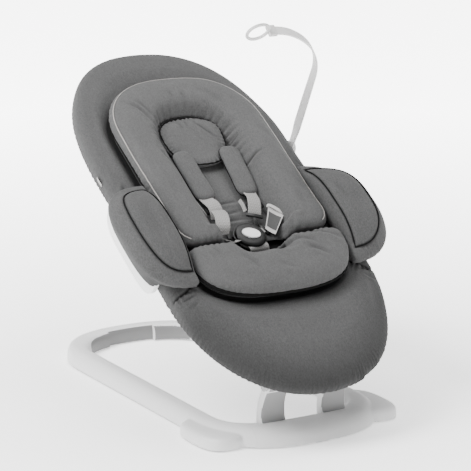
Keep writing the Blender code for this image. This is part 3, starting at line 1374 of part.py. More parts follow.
def build_buckle(axes, dark):
    """Build the round buckle body with its two tongue sockets and its button well."""
    body_top = BUCKLE_BOTTOM_Z + BUCKLE_THICKNESS
    radius = BUCKLE_RADIUS
    rings = []
    for inset, z in ((0.004, BUCKLE_BOTTOM_Z), (0.0, BUCKLE_BOTTOM_Z + 0.003),
                     (0.0, body_top - 0.005), (0.0025, body_top - 0.0015), (0.006, body_top)):
        rings.append([Vector((x, y, z)) for x, y in oval(radius - inset, radius - inset)])
    buckle = make_object("buckle_body", loft_mesh(rings), axes, dark)
    buckle.location = (0.0, BUCKLE_CENTRE_Y, 0.0)
    well = make_object("guide_button_well",
                       extrude_mesh(oval(BUTTON_HALF_WIDTH + SEAT_GAP,
                                         BUTTON_HALF_LENGTH + SEAT_GAP, turn=0.5),
                                    body_top - BUTTON_DEPTH, body_top + 0.01, axis="Z"),
                       axes, dark)
    well.location = (0.0, BUCKLE_CENTRE_Y, 0.0)
    add_boolean(buckle, well, "DIFFERENCE")
    half = 0.5 * TONGUE_WIDTH + SEAT_GAP
    thick = 0.5 * TONGUE_THICKNESS + SEAT_GAP
    for side, suffix in ((-1.0, "left"), (1.0, "right")):
        socket = make_object("guide_tongue_socket_" + suffix,
                             box_mesh((-half, BUCKLE_RADIUS - TONGUE_DEPTH - SEAT_GAP, -thick),
                                      (half, BUCKLE_RADIUS + 0.02, thick)), axes, dark)
        socket.matrix_local = tongue_axes(side)
        add_boolean(buckle, socket, "DIFFERENCE")
    slot_z = BUCKLE_BOTTOM_Z + CROTCH_SLOT_RISE
    half_slot = 0.5 * WEB_THICKNESS + SEAT_GAP
    slot_end = BUCKLE_CENTRE_Y - BUCKLE_RADIUS + CROTCH_SLOT_DEPTH + SEAT_GAP
    slot = make_object("guide_crotch_slot",
                       box_mesh((-0.5 * CROTCH_STRAP_WIDTH - SEAT_GAP, slot_end - 0.02,
                                 slot_z - half_slot - 0.0006),
                                (0.5 * CROTCH_STRAP_WIDTH + SEAT_GAP, slot_end,
                                 slot_z + half_slot)), axes, dark)
    return add_boolean(buckle, slot, "DIFFERENCE")


def build_button(axes, white):
    """Build the oval release button that dips into the buckle."""
    body_top = BUCKLE_BOTTOM_Z + BUCKLE_THICKNESS
    bottom = body_top - BUTTON_DEPTH + BUTTON_TRAVEL + SEAT_GAP
    top = body_top + BUTTON_RISE
    rings = []
    for inset, z in ((0.0, bottom), (0.0, top - 0.0015), (0.0012, top - 0.0003), (0.004, top)):
        ring = oval(BUTTON_HALF_WIDTH - inset, BUTTON_HALF_LENGTH - inset, turn=0.5)
        rings.append([Vector((x, y, z)) for x, y in ring])
    button = make_object("buckle_button", loft_mesh(rings), axes, white)
    button.location = (0.0, BUCKLE_CENTRE_Y, 0.0)
    return button


def build_crotch_strap(axes, webbing):
    """Build the crotch strap, up between the insert's two parts and into the buckle."""
    floor = COVER_DISH_Z + 2.0 * SEAT_GAP
    slot_z = BUCKLE_BOTTOM_Z + CROTCH_SLOT_RISE
    mouth_y = BUCKLE_CENTRE_Y - BUCKLE_RADIUS
    points = [Vector((0.0, INSERT_SPLIT_Y, floor)),
              Vector((0.0, INSERT_SPLIT_Y, BUCKLE_BOTTOM_Z)),
              Vector((0.0, mouth_y, slot_z - 0.0006)),
              Vector((0.0, mouth_y + CROTCH_SLOT_DEPTH, slot_z))]
    return make_object("crotch_strap",
                       strip_mesh(points, CROTCH_STRAP_WIDTH, WEB_THICKNESS,
                                  Vector((1.0, 0.0, 0.0))), axes, webbing)


def toy_line():
    """Return the toy bar's middle line in its own plane, as pairs of X and height.

    It starts on the hub's axis and runs up the leg, round the wide bend and the tight bend.
    """
    x = 0.0
    height = 0.0
    heading = TOY_LEG_ANGLE
    points = [(x, height)]
    for part, radius, turn, steps in (("leg", 0.0, 0.0, 3),
                                      ("wide", TOY_WIDE_BEND_RADIUS, TOY_WIDE_BEND_TURN, 8),
                                      ("tight", TOY_TIGHT_BEND_RADIUS, TOY_TIGHT_BEND_TURN, 5)):
        length = TOY_LEG_LENGTH if part == "leg" else radius * turn
        for _ in range(steps):
            heading += 0.5 * turn / steps
            x += length / steps * math.cos(heading)
            height += length / steps * math.sin(heading)
            heading += 0.5 * turn / steps
            points.append((x, height))
    return points


def build_toy_bar(toy_axes, grey, steel):
    """Build the toy bar: hub, pin, flat strip and the ring at its free end."""
    half_hub = 0.5 * TOY_HUB_THICKNESS
    hub = make_object("toy_bar_hub", rod_mesh(-half_hub, half_hub, 0.0, 0.0, TOY_HUB_RADIUS, 24),
                      toy_axes, grey)
    add_bevel(hub, 0.001)
    line = toy_line()
    points = [Vector((x, 0.0, height)) for x, height in line]
    across = Vector((0.0, 1.0, 0.0))
    seated = points[0].lerp(points[1], 0.005 / (TOY_LEG_LENGTH / 3.0))
    strip_points = [seated] + points[1:]
    strip = make_object("toy_bar_strip",
                        strip_mesh(strip_points, TOY_STRIP_WIDTH, TOY_STRIP_THICKNESS, across),
                        toy_axes, grey)
    slot = make_object("guide_hub_slot",
                       strip_mesh([points[0].lerp(seated, 0.9), points[1]],
                                  TOY_STRIP_WIDTH + 2.0 * SEAT_GAP,
                                  TOY_STRIP_THICKNESS + 2.0 * SEAT_GAP, across), toy_axes, grey)
    add_boolean(hub, slot, "DIFFERENCE")
    pin_reach = half_hub + 0.007
    pin = make_object("toy_bar_pin", rod_mesh(-pin_reach, -half_hub, 0.0, 0.0,
                                              TOY_PIN_RADIUS, 24), toy_axes, steel)
    pin.location = (-SEAT_GAP, 0.0, 0.0)
    build_toy_ring(toy_axes, points[-1], points[-1] - points[-2], grey)
    return strip


def build_toy_ring(toy_axes, tip, run, grey):
    """Build the hanging ring and the neck that grips the strip's free end."""
    heading = run.normalized()
    centre = tip + heading * (TOY_NECK_LENGTH * 0.4 + TOY_RING_RADIUS)
    side = Vector((-heading.z, 0.0, heading.x))
    data = bmesh.new()
    rows = []
    steps = 28
    for step in range(steps):
        angle = 2.0 * math.pi * step / steps
        spoke = heading * math.cos(angle) + side * math.sin(angle)
        row = []
        for a, b in circle(0.0, 0.0, TOY_RING_STOCK, 8):
            row.append(data.verts.new(centre + spoke * (TOY_RING_RADIUS + a)
                                      + Vector((0.0, b, 0.0))))
        rows.append(row)
    for step in range(steps):
        low = rows[step]
        high = rows[(step + 1) % steps]
        for index in range(8):
            after = (index + 1) % 8
            data.faces.new((low[index], low[after], high[after], high[index]))
    ring = make_object("toy_ring", data, toy_axes, grey)
    across = Vector((0.0, 1.0, 0.0))
    neck_start = tip - heading * TOY_NECK_LENGTH
    neck_end = centre - heading * TOY_RING_RADIUS
    neck = make_object("guide_ring_neck",
                       strip_mesh([neck_start, neck_end], TOY_STRIP_WIDTH + 2.0 * TOY_NECK_WALL,
                                  TOY_STRIP_THICKNESS + 2.0 * TOY_NECK_WALL, across),
                       toy_axes, grey)
    slot = make_object("guide_ring_slot",
                       strip_mesh([neck_start - heading * 0.01, tip + heading * SEAT_GAP],
                                  TOY_STRIP_WIDTH + 2.0 * SEAT_GAP,
                                  TOY_STRIP_THICKNESS + 2.0 * SEAT_GAP, across), toy_axes, grey)
    add_boolean(ring, neck, "UNION")
    return add_boolean(ring, slot, "DIFFERENCE")


def build_toy_socket(axes, grey):
    """Build the bracket under the cover's edge that holds the toy bar's pin."""
    half_hub = 0.5 * TOY_HUB_THICKNESS
    outer = TOY_PIVOT_X - half_hub - RUNNING_GAP
    wall = outer - TOY_CHEEK_THICKNESS
    top = COVER_EDGE_Z - COVER_UNDERSIDE - SEAT_GAP
    cheek = hull_outline((TOY_PIVOT_Y, TOY_PIVOT_Z), TOY_CHEEK_RADIUS,
                         (TOY_PIVOT_Y - TOY_CHEEK_LENGTH, TOY_PIVOT_Z),
                         TOY_CHEEK_RADIUS + SEAT_GAP, 8)
    socket = make_object("toy_bar_socket", extrude_mesh(cheek, wall, outer), axes, grey)
    reach = COVER_HALF_WIDTH - tube_inset() - TUBE_RADIUS - TOY_TAIL_INSET
    foot_y = TOY_PIVOT_Y - TOY_TAIL_FOOT
    head_y = TOY_PIVOT_Y + TOY_TAIL_HEAD
    tail = make_object("guide_socket_tail",
                       box_mesh((reach, foot_y, top - TOY_TAIL_DEPTH),
                                (wall + TOY_TAIL_LAP, head_y, top)), axes, grey)
    pan_pad = make_object("guide_socket_pad",
                          box_mesh((reach, foot_y, top - 0.5 * TOY_TAIL_DEPTH),
                                   (reach + TOY_TAIL_INSET - TOY_TAIL_LAP, head_y,
                                    pan_bottom_z() - SEAT_GAP)), axes, grey)
    bore = make_object("guide_socket_bore",
                       rod_mesh(wall - 0.0005, outer + 0.01, TOY_PIVOT_Y, TOY_PIVOT_Z,
                                TOY_PIN_RADIUS + BORE_GAP, 24), axes, grey)
    add_boolean(socket, tail, "UNION")
    add_boolean(socket, pan_pad, "UNION")
    return add_boolean(socket, bore, "DIFFERENCE")


def make_axes():
    """Return the empties on the hinges: cradle axes, seat axes and toy bar axes."""
    bounce = seat_to_world(0.0, BOUNCE_Y, BOUNCE_Z)
    recline = seat_to_world(0.0, RECLINE_Y, RECLINE_Z)
    seat_origin = Vector((0.0, SEAT_ORIGIN_Y, 0.0))
    bounce_pivot = make_empty("bounce_pivot", None, bounce)
    cradle_axes = make_empty("cradle_axes", bounce_pivot, seat_origin - bounce, SEAT_SLOPE)
    recline_pivot = make_empty("recline_pivot", bounce_pivot, recline - bounce)
    seat_axes = make_empty("seat_axes", recline_pivot, seat_origin - recline, SEAT_SLOPE)
    toy_axes = make_empty("toy_bar_pivot", seat_axes, (TOY_PIVOT_X, TOY_PIVOT_Y, TOY_PIVOT_Z),
                          TOY_PLANE_LEAN)
    return cradle_axes, seat_axes, toy_axes


def main():
    """Build the whole lounger."""
    clear_scene()
    white = make_material("white plastic", (0.86, 0.86, 0.85), 0.42)
    rubber = make_material("rubber", (0.16, 0.16, 0.16), 0.80)
    steel = make_material("steel", (0.58, 0.58, 0.60), 0.35, 1.0)
    dark = make_material("dark plastic", (0.06, 0.06, 0.065), 0.50)
    grey = make_material("light grey plastic", (0.62, 0.62, 0.60), 0.55)
    fabric = make_material("grey fabric", (0.17, 0.17, 0.17), 0.92)
    insert_fabric = make_material("insert fabric", (0.18, 0.18, 0.18), 0.92)
    webbing = make_material("light webbing", (0.48, 0.47, 0.45), 0.85)

    cradle_axes, seat_axes, toy_axes = make_axes()

    for side, suffix in ((-1.0, "left"), (1.0, "right")):
        build_loop_rail(side, suffix, white)
    build_front_bar(white)
    build_rear_connector(white)
    build_rubber_feet(rubber)
    build_risers(white, steel)

    build_cradle(cradle_axes, white, steel, dark)

    build_rim_tube(seat_axes, steel)
    build_seat_pan(seat_axes, dark)
    build_recline_brackets(seat_axes, dark, steel)
    build_latch(seat_axes, dark, steel)
    build_recline_lever(seat_axes, dark, white, steel)
    build_seat_cover(seat_axes, fabric)
    cover_guide = build_bolster_guide(seat_axes, fabric)
    for side, suffix in ((-1.0, "left"), (1.0, "right")):
        build_side_cheek(side, suffix, seat_axes, white)
        build_bolster(side, suffix, seat_axes, fabric, cover_guide)

    build_insert_upper(seat_axes, insert_fabric)
    build_insert_lower(seat_axes, insert_fabric)
    build_head_pad(seat_axes, insert_fabric)

    for side, suffix in ((-1.0, "left"), (1.0, "right")):
        build_shoulder_pad(side, suffix, seat_axes, insert_fabric)
        build_shoulder_strap(side, suffix, seat_axes, webbing)
        build_adjuster(side, suffix, seat_axes, dark)
        build_tongue(side, suffix, seat_axes, dark)
        build_hip_strap(side, suffix, seat_axes, webbing)
    build_buckle(seat_axes, dark)
    build_button(seat_axes, white)
    build_crotch_strap(seat_axes, webbing)

    build_toy_socket(seat_axes, grey)
    build_toy_bar(toy_axes, grey, steel)
    bpy.context.view_layer.update()


if __name__ == "__main__":
    main()
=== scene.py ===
"""Baby lounger: the looks of every piece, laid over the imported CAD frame.

Units are metres.  +Z is up, the foot end faces -Y, the head end +Y.  Everything on the seat is
drawn in the seat's own axes (X across, S up along the seat, N square to it) and then turned to
the seat's slope, so every finished piece lies in place with its object at the origin.
"""

import logging
import math
from dataclasses import dataclass
from enum import Enum
from typing import Sequence

import bmesh
import bpy
import numpy as np
from mathutils import Matrix, Vector
from mathutils.bvhtree import BVHTree


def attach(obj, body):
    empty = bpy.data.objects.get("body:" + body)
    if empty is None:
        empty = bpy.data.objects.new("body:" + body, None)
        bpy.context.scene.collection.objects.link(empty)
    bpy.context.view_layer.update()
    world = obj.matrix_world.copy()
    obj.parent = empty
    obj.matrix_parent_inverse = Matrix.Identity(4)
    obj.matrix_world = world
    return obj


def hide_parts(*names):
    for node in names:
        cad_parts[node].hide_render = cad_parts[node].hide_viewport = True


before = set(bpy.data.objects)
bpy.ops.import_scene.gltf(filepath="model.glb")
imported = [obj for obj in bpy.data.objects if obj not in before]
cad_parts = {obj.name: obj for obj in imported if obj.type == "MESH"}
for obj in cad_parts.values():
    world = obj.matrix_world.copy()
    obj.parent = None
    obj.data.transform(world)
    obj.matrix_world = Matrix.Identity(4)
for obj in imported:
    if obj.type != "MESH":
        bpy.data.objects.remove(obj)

LOG = logging.getLogger("lounger")
TINY = 1e-9
Outline = np.ndarray
Path = Sequence[Sequence[float]]
Piece = bpy.types.Object


class Side(Enum):
    """The lounger's two sides, as the sign of X."""

    LEFT = -1
    RIGHT = 1

    @property
    def suffix(self) -> str:
        """Return the side's word in a node's name."""
        return self.name.lower()


class Body(Enum):
    """The CAD bodies that the pieces move with."""

    BASE = "base"
    CRADLE = "cradle"
    SEAT = "seat"
    LATCH = "latch"
    LEVER = "lever"
    BUTTON = "button"
    PAD_LEFT = "pad_left"
    PAD_RIGHT = "pad_right"
    TOY_BAR = "toy_bar"


class Zone(Enum):
    """The stretches of the floor loop's middle line."""

    FRONT = "front"
    SIDE = "side"
    REAR = "rear"


@dataclass(frozen=True)
class SeatAxes:
    """The seat's own axes: X across, S up along the seat and N square to it."""

    slope: float = math.radians(32.3)
    origin_y: float = -0.0393

    @property
    def matrix(self) -> Matrix:
        """Return the matrix from seat axes to the world."""
        return Matrix.Translation((0.0, self.origin_y, 0.0)) @ Matrix.Rotation(self.slope, 4, "X")

    @property
    def normal(self) -> Vector:
        """Return the direction square to the seat."""
        return self.matrix.to_3x3() @ Vector((0.0, 0.0, 1.0))

    def world(self, points: np.ndarray) -> np.ndarray:
        """Return points given in seat axes as world points.

        Args:
            points: An array whose last side holds X, S and N.

        Returns:
            An array of the same shape, in the world's axes.
        """
        turn = np.array(self.matrix.to_3x3())
        return points @ turn.T + np.array((0.0, self.origin_y, 0.0))

    def seat(self, points: np.ndarray) -> np.ndarray:
        """Return world points as X, S and N."""
        turn = np.array(self.matrix.to_3x3())
        return (points - np.array((0.0, self.origin_y, 0.0))) @ turn


SEAT = SeatAxes()


def smooth_step(values: np.ndarray, low: float = 0.0, high: float = 1.0) -> np.ndarray:
    """Return a smooth rise from 0 at low to 1 at high."""
    share = np.clip((np.asarray(values, float) - low) / (high - low), 0.0, 1.0)
    return share * share * (3.0 - 2.0 * share)


def squared(values: np.ndarray, power: float) -> np.ndarray:
    """Return a circle's sines or cosines pulled out towards a square."""
    return np.sign(values) * np.abs(values) ** (2.0 / power)


def circle(steps: int, start: float = 0.0) -> np.ndarray:
    """Return the angles of a whole turn in even steps."""
    return 2.0 * math.pi * (np.arange(steps) + start) / steps


def run_at(line: np.ndarray, index: int) -> np.ndarray:
    """Return the unit direction of a row of points at one of them."""
    run = line[min(index + 1, len(line) - 1)] - line[max(index - 1, 0)]
    return run / max(np.linalg.norm(run), TINY)


def placed(points: np.ndarray, axes: Matrix) -> np.ndarray:
    """Return points given in a piece's own axes as world points."""
    table = np.array(axes)
    return points @ table[:3, :3].T + table[:3, 3]


def closed(ring: Outline) -> Outline:
    """Return an outline with its first point again at its end."""
    return np.concatenate([ring, ring[:1]])


@dataclass(frozen=True)
class Plan:
    """A closed, mirrored outline with two rounded ends, as on the CAD's cushions."""

    half_width: float
    foot_end: float
    foot_straight: float
    head_straight: float
    head_end: float
    foot_power: float
    head_power: float
    foot_flat: float = 0.0
    head_flat: float = 0.0

    def ring(self, inset: float, quarter: int = 36, side: int = 24, flat: int = 10) -> Outline:
        """Return the outline drawn in by an inset, from the foot's middle, anticlockwise.

        Args:
            inset: How far the outline is drawn in.
            quarter: Points round each quarter of an end.
            side: Points along each straight side.
            flat: Points along half of an end's flat part, where it has one.

        Returns:
            An array of X and S pairs.
        """
        half = self.half_width - inset
        foot_flat = max(self.foot_flat - inset, 0.0) if self.foot_flat else 0.0
        head_flat = max(self.head_flat - inset, 0.0) if self.head_flat else 0.0
        angle = 0.5 * math.pi * np.linspace(0.0, 1.0, quarter + 1)
        sine = np.sin(angle)
        cosine = np.maximum(np.cos(angle), 0.0)
        foot = np.stack([foot_flat + (half - foot_flat) * sine ** (2.0 / self.foot_power),
                self.foot_straight - (self.foot_straight - self.foot_end - inset)
                * cosine ** (2.0 / self.foot_power)], axis=1)
        head = np.stack([head_flat + (half - head_flat) * sine ** (2.0 / self.head_power),
                self.head_straight + (self.head_end - inset - self.head_straight)
                * cosine ** (2.0 / self.head_power)], axis=1)[::-1]
        along = np.linspace(self.foot_straight, self.head_straight, side + 1)[1:-1]
        middle = np.stack([np.full(len(along), half), along], axis=1)
        right = np.concatenate([foot, middle, head])
        if foot_flat:
            run = np.linspace(0.0, foot_flat, flat, endpoint=False)
            right = np.concatenate([np.stack([run, np.full(flat, foot[0, 1])], axis=1), right])
        if head_flat:
            run = np.linspace(0.0, head_flat, flat, endpoint=False)[::-1]
            right = np.concatenate([right, np.stack([run, np.full(flat, head[-1, 1])], axis=1)])
        left = right[-2:0:-1] * np.array((-1.0, 1.0))
        return np.concatenate([right, left])


BEND_START, BEND_LENGTH, BEND_DROP = 0.012, 0.2, 0.005
COVER_PLAN = Plan(0.1975, -0.222, 0.012, 0.306, 0.593, 2.13, 2.34)
INSERT_PLAN = Plan(0.15, -0.042, 0.055, 0.346, 0.485, 2.7, 2.35)
UPPER_PLAN = Plan(0.15, 0.081, 0.131, 0.346, 0.485, 2.4, 2.35, foot_flat=0.112)
LOWER_PLAN = Plan(0.15, -0.042, 0.055, 0.056, 0.077, 2.7, 2.4, head_flat=0.112)
HOLLOW_PLAN = Plan(0.074, 0.09, 0.13, 0.335, 0.409, 2.4, 2.5, foot_flat=0.044)


def lifted(ring: Outline, height: np.ndarray | float) -> np.ndarray:
    """Return an outline as X, S and N points at a height."""
    level = np.broadcast_to(np.asarray(height, float), (len(ring),))
    return np.column_stack([ring, level])


def foot_bend(points: np.ndarray) -> np.ndarray:
    """Return seat points after the slight bend down at the seat's foot end."""
    drop = BEND_DROP * (np.maximum(BEND_START - points[..., 1], 0.0) / BEND_LENGTH) ** 2
    return points - drop[..., None] * np.array((0.0, 0.0, 1.0))


def flowing(rings: Sequence[np.ndarray], spacing: float) -> list[np.ndarray]:
    """Return more rings, along smooth curves through the given ones.

    Args:
        rings: Point rings of one length, in order.
        spacing: The wanted distance between neighbouring rings.

    Returns:
        The given rings with new ones between them.
    """
    stack = np.stack(rings)
    gaps = np.maximum(np.linalg.norm(np.diff(stack, axis=0), axis=2).mean(axis=1), 1e-5)
    knots = np.concatenate([[0.0], np.cumsum(gaps ** 0.5)])
    result = [stack[0]]
    last = len(stack) - 1
    for index in range(last):
        before = stack[max(index - 1, 0)]
        after = stack[min(index + 2, last)]
        start, end = stack[index], stack[index + 1]
        span = knots[index + 1] - knots[index]
        lead = (end - before) / (knots[index + 1] - knots[max(index - 1, 0)])
        trail = (after - start) / (knots[min(index + 2, last)] - knots[index])
        if index == 0:
            lead = (end - start) / span
        if index == last - 1:
            trail = (end - start) / span
        count = max(int(math.ceil(gaps[index] / spacing)), 1)
        for step in range(1, count + 1):
            t = step / count
            square, cube = t ** 2, t ** 3
            result.append((2 * cube - 3 * square + 1) * start
                + (cube - 2 * square + t) * span * lead
                + (3 * square - 2 * cube) * end + (cube - square) * span * trail)
    return result


class Bench:
    """Modelling steps made as by hand, with Blender's own operators."""

    CORD_STEPS = 8
    BAND_STEPS = 32
    WEB_SPACING = 0.002
    AIR_FRAMES = 20
    AIR = {"quality": 5, "mass": 0.3, "tension_stiffness": 15.0, "compression_stiffness": 15.0,
        "shear_stiffness": 8.0, "bending_stiffness": 0.5, "use_pressure": True,
        "uniform_pressure_force": 4.0}

    @staticmethod
    def clear() -> None:
        """Leave edit mode and deselect everything."""
        if bpy.context.mode != "OBJECT":
            bpy.ops.object.mode_set(mode="OBJECT")
        bpy.ops.object.select_all(action="DESELECT")

    @classmethod
    def pick(cls, piece: Piece) -> None:
        """Select one piece alone and make it active.

        Args:
            piece: The piece.
        """
        cls.clear()
        piece.select_set(True)
        bpy.context.view_layer.objects.active = piece

    @classmethod
    def edit(cls, piece: Piece, selected: bool = True) -> None:
        """Open a piece in edit mode with all or nothing selected.

        Args:
            piece: The piece.
            selected: Whether all of it is selected.
        """
        cls.pick(piece)
        bpy.ops.object.mode_set(mode="EDIT")
        bpy.ops.mesh.select_mode(type="VERT")
        bpy.ops.mesh.select_all(action="SELECT" if selected else "DESELECT")

    @classmethod
    def apply(cls, piece: Piece, kind: str, **settings: object) -> None:
        """Add a modifier, set it and apply it.

        Args:
            piece: The piece.
            kind: The modifier's type.
            **settings: The modifier's settings by name.
        """
        cls.pick(piece)
        modifier = piece.modifiers.new(kind.title(), kind)
        for key, value in settings.items():
            setattr(modifier, key, value)
        bpy.ops.object.modifier_apply(modifier=modifier.name)

    @classmethod
    def sweep(cls, name: str, rings: Sequence[np.ndarray], capped: bool = True,
            looped: bool = False) -> Piece:
        """Extrude a ring of points on from section to section.

        Args:
            name: The new piece's name.
            rings: World sections with one number of points each, in order.
            capped: Whether the two ends are closed with faces.
            looped: Whether the last section joins the first one.

        Returns:
            The new piece, with its way along the sweep, in metres, in the attribute Along.
        """
        count = len(rings[0])
        cls.clear()
        bpy.ops.mesh.primitive_circle_add(vertices=count, radius=0.1, fill_type="NOTHING",
                enter_editmode=True)
        piece = bpy.context.object
        piece.name = name
        piece.data.name = name
        bpy.ops.mesh.select_mode(type="VERT")
        mesh = bmesh.from_edit_mesh(piece.data)
        order = list(range(count))
        for vert, place in zip(mesh.verts, rings[0]):
            vert.co = place
        for ring in rings[1:]:
            bpy.ops.mesh.extrude_edges_move()
            mesh = bmesh.from_edit_mesh(piece.data)
            mesh.verts.ensure_lookup_table()
            mesh.verts.index_update()
            start = len(mesh.verts) - count
            slots = []
            for vert in mesh.verts[start:]:
                old = next(edge.other_vert(vert).index for edge in vert.link_edges
                        if edge.other_vert(vert).index < start)
                slot = order[old - start + count]
                vert.co = ring[slot]
                slots.append(slot)
            order = slots
        bmesh.update_edit_mesh(piece.data)
        if capped or looped:
            cls._close_ends(piece, count, looped)
        bpy.ops.mesh.select_all(action="SELECT")
        bpy.ops.mesh.normals_make_consistent(inside=False)
        bpy.ops.object.mode_set(mode="OBJECT")
        cls._mark_along(piece, rings, count)
        return piece

    @staticmethod
    def _close_ends(piece: Piece, count: int, looped: bool) -> None:
        """Cap a sweep's two end rings, or bridge them into a loop.

        Args:
            piece: The sweep, in edit mode with its last ring selected.
            count: Points round each ring.
            looped: Whether the two rings are bridged.
        """
        if not looped:
            bpy.ops.mesh.edge_face_add()
            bpy.ops.mesh.select_all(action="DESELECT")
        mesh = bmesh.from_edit_mesh(piece.data)
        mesh.verts.ensure_lookup_table()
        for vert in mesh.verts[:count]:
            vert.select = True
        mesh.select_flush(True)
        bmesh.update_edit_mesh(piece.data)
        if looped:
            bpy.ops.mesh.bridge_edge_loops()
        else:
            bpy.ops.mesh.edge_face_add()

    @staticmethod
    def _mark_along(piece: Piece, rings: Sequence[np.ndarray], count: int) -> None:
        """Store each vertex's way along the sweep.

        Args:
            piece: The sweep.
            rings: Its sections.
            count: Points round each section.
        """
        centres = np.array([np.asarray(ring, float).mean(axis=0) for ring in rings])
        steps = np.linalg.norm(np.diff(centres, axis=0), axis=1)
        along = np.concatenate([[0.0], np.cumsum(steps)])
        values = np.repeat(along, count)[:len(piece.data.vertices)]
        attribute = piece.data.attributes.new("Along", "FLOAT", "POINT")
        attribute.data.foreach_set("value", values.astype(np.float32))

    @classmethod
    def trim(cls, piece: Piece, place: Sequence[float], away: Sequence[float]) -> None:
        """Cut off the part of a piece on one side of a plane and close the cut.

        Args:
            piece: The piece to cut.
            place: A point of the plane.
            away: The plane's direction, towards the part that goes.
        """
        cls.edit(piece)
        bpy.ops.mesh.bisect(plane_co=place, plane_no=away, use_fill=True, clear_outer=True)
        bpy.ops.object.mode_set(mode="OBJECT")

    @classmethod
    def combine(cls, piece: Piece, other: Piece, operation: str = "UNION") -> None:
        """Join, cut or intersect a piece with another, which is used up."""
        cls.apply(piece, "BOOLEAN", operation=operation, solver="EXACT", object=other)
        bpy.data.objects.remove(other, do_unlink=True)

    @classmethod
    def soften(cls, piece: Piece, voxel: float, smoothing: int) -> None:
        """Remesh a piece into even quads and smooth it."""
        cls.apply(piece, "REMESH", mode="VOXEL", voxel_size=voxel, use_smooth_shade=True)
        cls.apply(piece, "SMOOTH", factor=0.5, iterations=smoothing)

    @classmethod
    def puff(cls, piece: Piece, limit: float) -> None:
        """Let air pressure round a closed cushion, with its movement held to a limit.

        Args:
            piece: The cushion.
            limit: How far its cloth may move.
        """
        cls.pick(piece)
        before = mesh_points(piece)
        modifier = piece.modifiers.new("Cloth", "CLOTH")
        for key, value in cls.AIR.items():
            setattr(modifier.settings, key, value)
        modifier.settings.effector_weights.gravity = 0.0
        modifier.point_cache.frame_start = 1
        modifier.point_cache.frame_end = cls.AIR_FRAMES
        for number in range(1, cls.AIR_FRAMES + 1):
            bpy.context.scene.frame_set(number)
        bpy.ops.object.modifier_apply(modifier=modifier.name)
        bpy.context.scene.frame_set(1)
        move = mesh_points(piece) - before
        length = np.linalg.norm(move, axis=1, keepdims=True)
        held = limit * np.tanh(length / limit) / np.maximum(length, TINY)
        place_points(piece, before + move * held)

    @classmethod
    def refine(cls, piece: Piece) -> Piece:
        """Add one subdivision."""
        cls.apply(piece, "SUBSURF", levels=1, render_levels=1)
        return piece

    @classmethod
    def shade(cls, piece: Piece, angle: float = 35.0) -> Piece:
        """Shade a piece smooth up to an edge angle.

        Args:
            piece: The piece.
            angle: The angle in degrees.

        Returns:
            The same piece.
        """
        cls.pick(piece)
        bpy.ops.object.shade_smooth_by_angle(angle=math.radians(angle))
        return piece

    @classmethod
    def tube(cls, name: str, points: np.ndarray, radius: float, looped: bool = False) -> Piece:
        """Lay a round cord along world points.

        Args:
            name: The new piece's name.
            points: The cord's middle line.
            radius: The cord's radius.
            looped: Whether its ends are joined.

        Returns:
            The new piece.
        """
        line = np.concatenate([points[-1:], points, points[:1]]) if looped else points
        first = 1 if looped else 0
        angle = circle(cls.CORD_STEPS)
        rings = []
        for index, point in enumerate(points):
            run = run_at(line, index + first)
            across = np.cross(run, np.array(SEAT.normal))
            across = across / max(np.linalg.norm(across), TINY)
            lift = np.cross(across, run)
            rings.append(point + radius * (np.outer(np.cos(angle), across)
                    + np.outer(np.sin(angle), lift)))
        return cls.shade(cls.sweep(name, rings, capped=not looped, looped=looped), 80.0)

    @classmethod
    def band(cls, name: str, centres: np.ndarray, across: np.ndarray, width: np.ndarray | float,
            thickness: float, power: float = 10.0) -> Piece:
        """Sweep a flat section with rounded edges along world points.

        Args:
            name: The new piece's name.
            centres: The band's middle line.
            across: One direction across the band for each point.
            width: The band's width, one value or one for each point.
            thickness: The band's thickness.
            power: How square the section's ends are.

        Returns:
            The new piece.
        """
        widths = np.broadcast_to(np.asarray(width, float), (len(centres),))
        angle = circle(cls.BAND_STEPS, 0.5)
        edge = 0.5 * squared(np.cos(angle), power)
        rise = 0.5 * thickness * squared(np.sin(angle), 3.0)
        rings = []
        for index, centre in enumerate(centres):
            run = run_at(centres, index)
            side = across[index] - run * float(across[index] @ run)
            side = side / max(np.linalg.norm(side), TINY)
            rings.append(centre + np.outer(edge * widths[index], side)
                    + np.outer(rise, np.cross(run, side)))
        return cls.shade(cls.sweep(name, rings), 50.0)

    @classmethod
    def web(cls, name: str, points: Path, width: float, thickness: float,
            turns: Sequence[float] | None = None) -> Piece:
        """Lay a woven web along seat points, each with its own turn and roll.

        Args:
            name: The new piece's name.
            points: Seat places as X, S and N.
            width: The web's width.
            thickness: The web's thickness.
            turns: For each point, how far the web's breadth is rolled about its run, in degrees.

        Returns:
            The new piece.
        """
        rolls = turns if turns is not None else [0.0] * len(points)
        small = 1e-4
        knots = [np.array([[*point, roll * small]]) for point, roll in zip(points, rolls)]
        line = np.array([ring[0] for ring in flowing(knots, cls.WEB_SPACING)])
        centres = line[:, :3]
        breadths = []
        for index, angle in enumerate(np.radians(line[:, 3] / small)):
            run = run_at(centres, index)
            side = np.cross(run, (0.0, 0.0, 1.0))
            side = side / max(np.linalg.norm(side), TINY)
            breadths.append(side * math.cos(angle) + np.cross(side, run) * math.sin(angle))
        turn = np.array(SEAT.matrix.to_3x3())
        return cls.band(name, SEAT.world(centres), np.array(breadths) @ turn.T, width, thickness)

    @classmethod
    def cushion(cls, name: str, rings: Sequence[np.ndarray], spacing: float, voxel: float,
            smoothing: int, give: float) -> Piece:
        """Stuff a cushion: sweep its sections, soften them and let air round them.

        Args:
            name: The new piece's name.
            rings: Sections in seat axes, in order.
            spacing: The distance between the sections laid between them.
            voxel: The remesh's grid.
            smoothing: How many times the remesh is smoothed.
            give: How far the air may move the cloth.

        Returns:
            The new piece.
        """
        piece = cls.sweep(name, [SEAT.world(ring) for ring in flowing(rings, spacing)])
        cls.soften(piece, voxel, smoothing)
        cls.puff(piece, give)
        return cls.refine(piece)

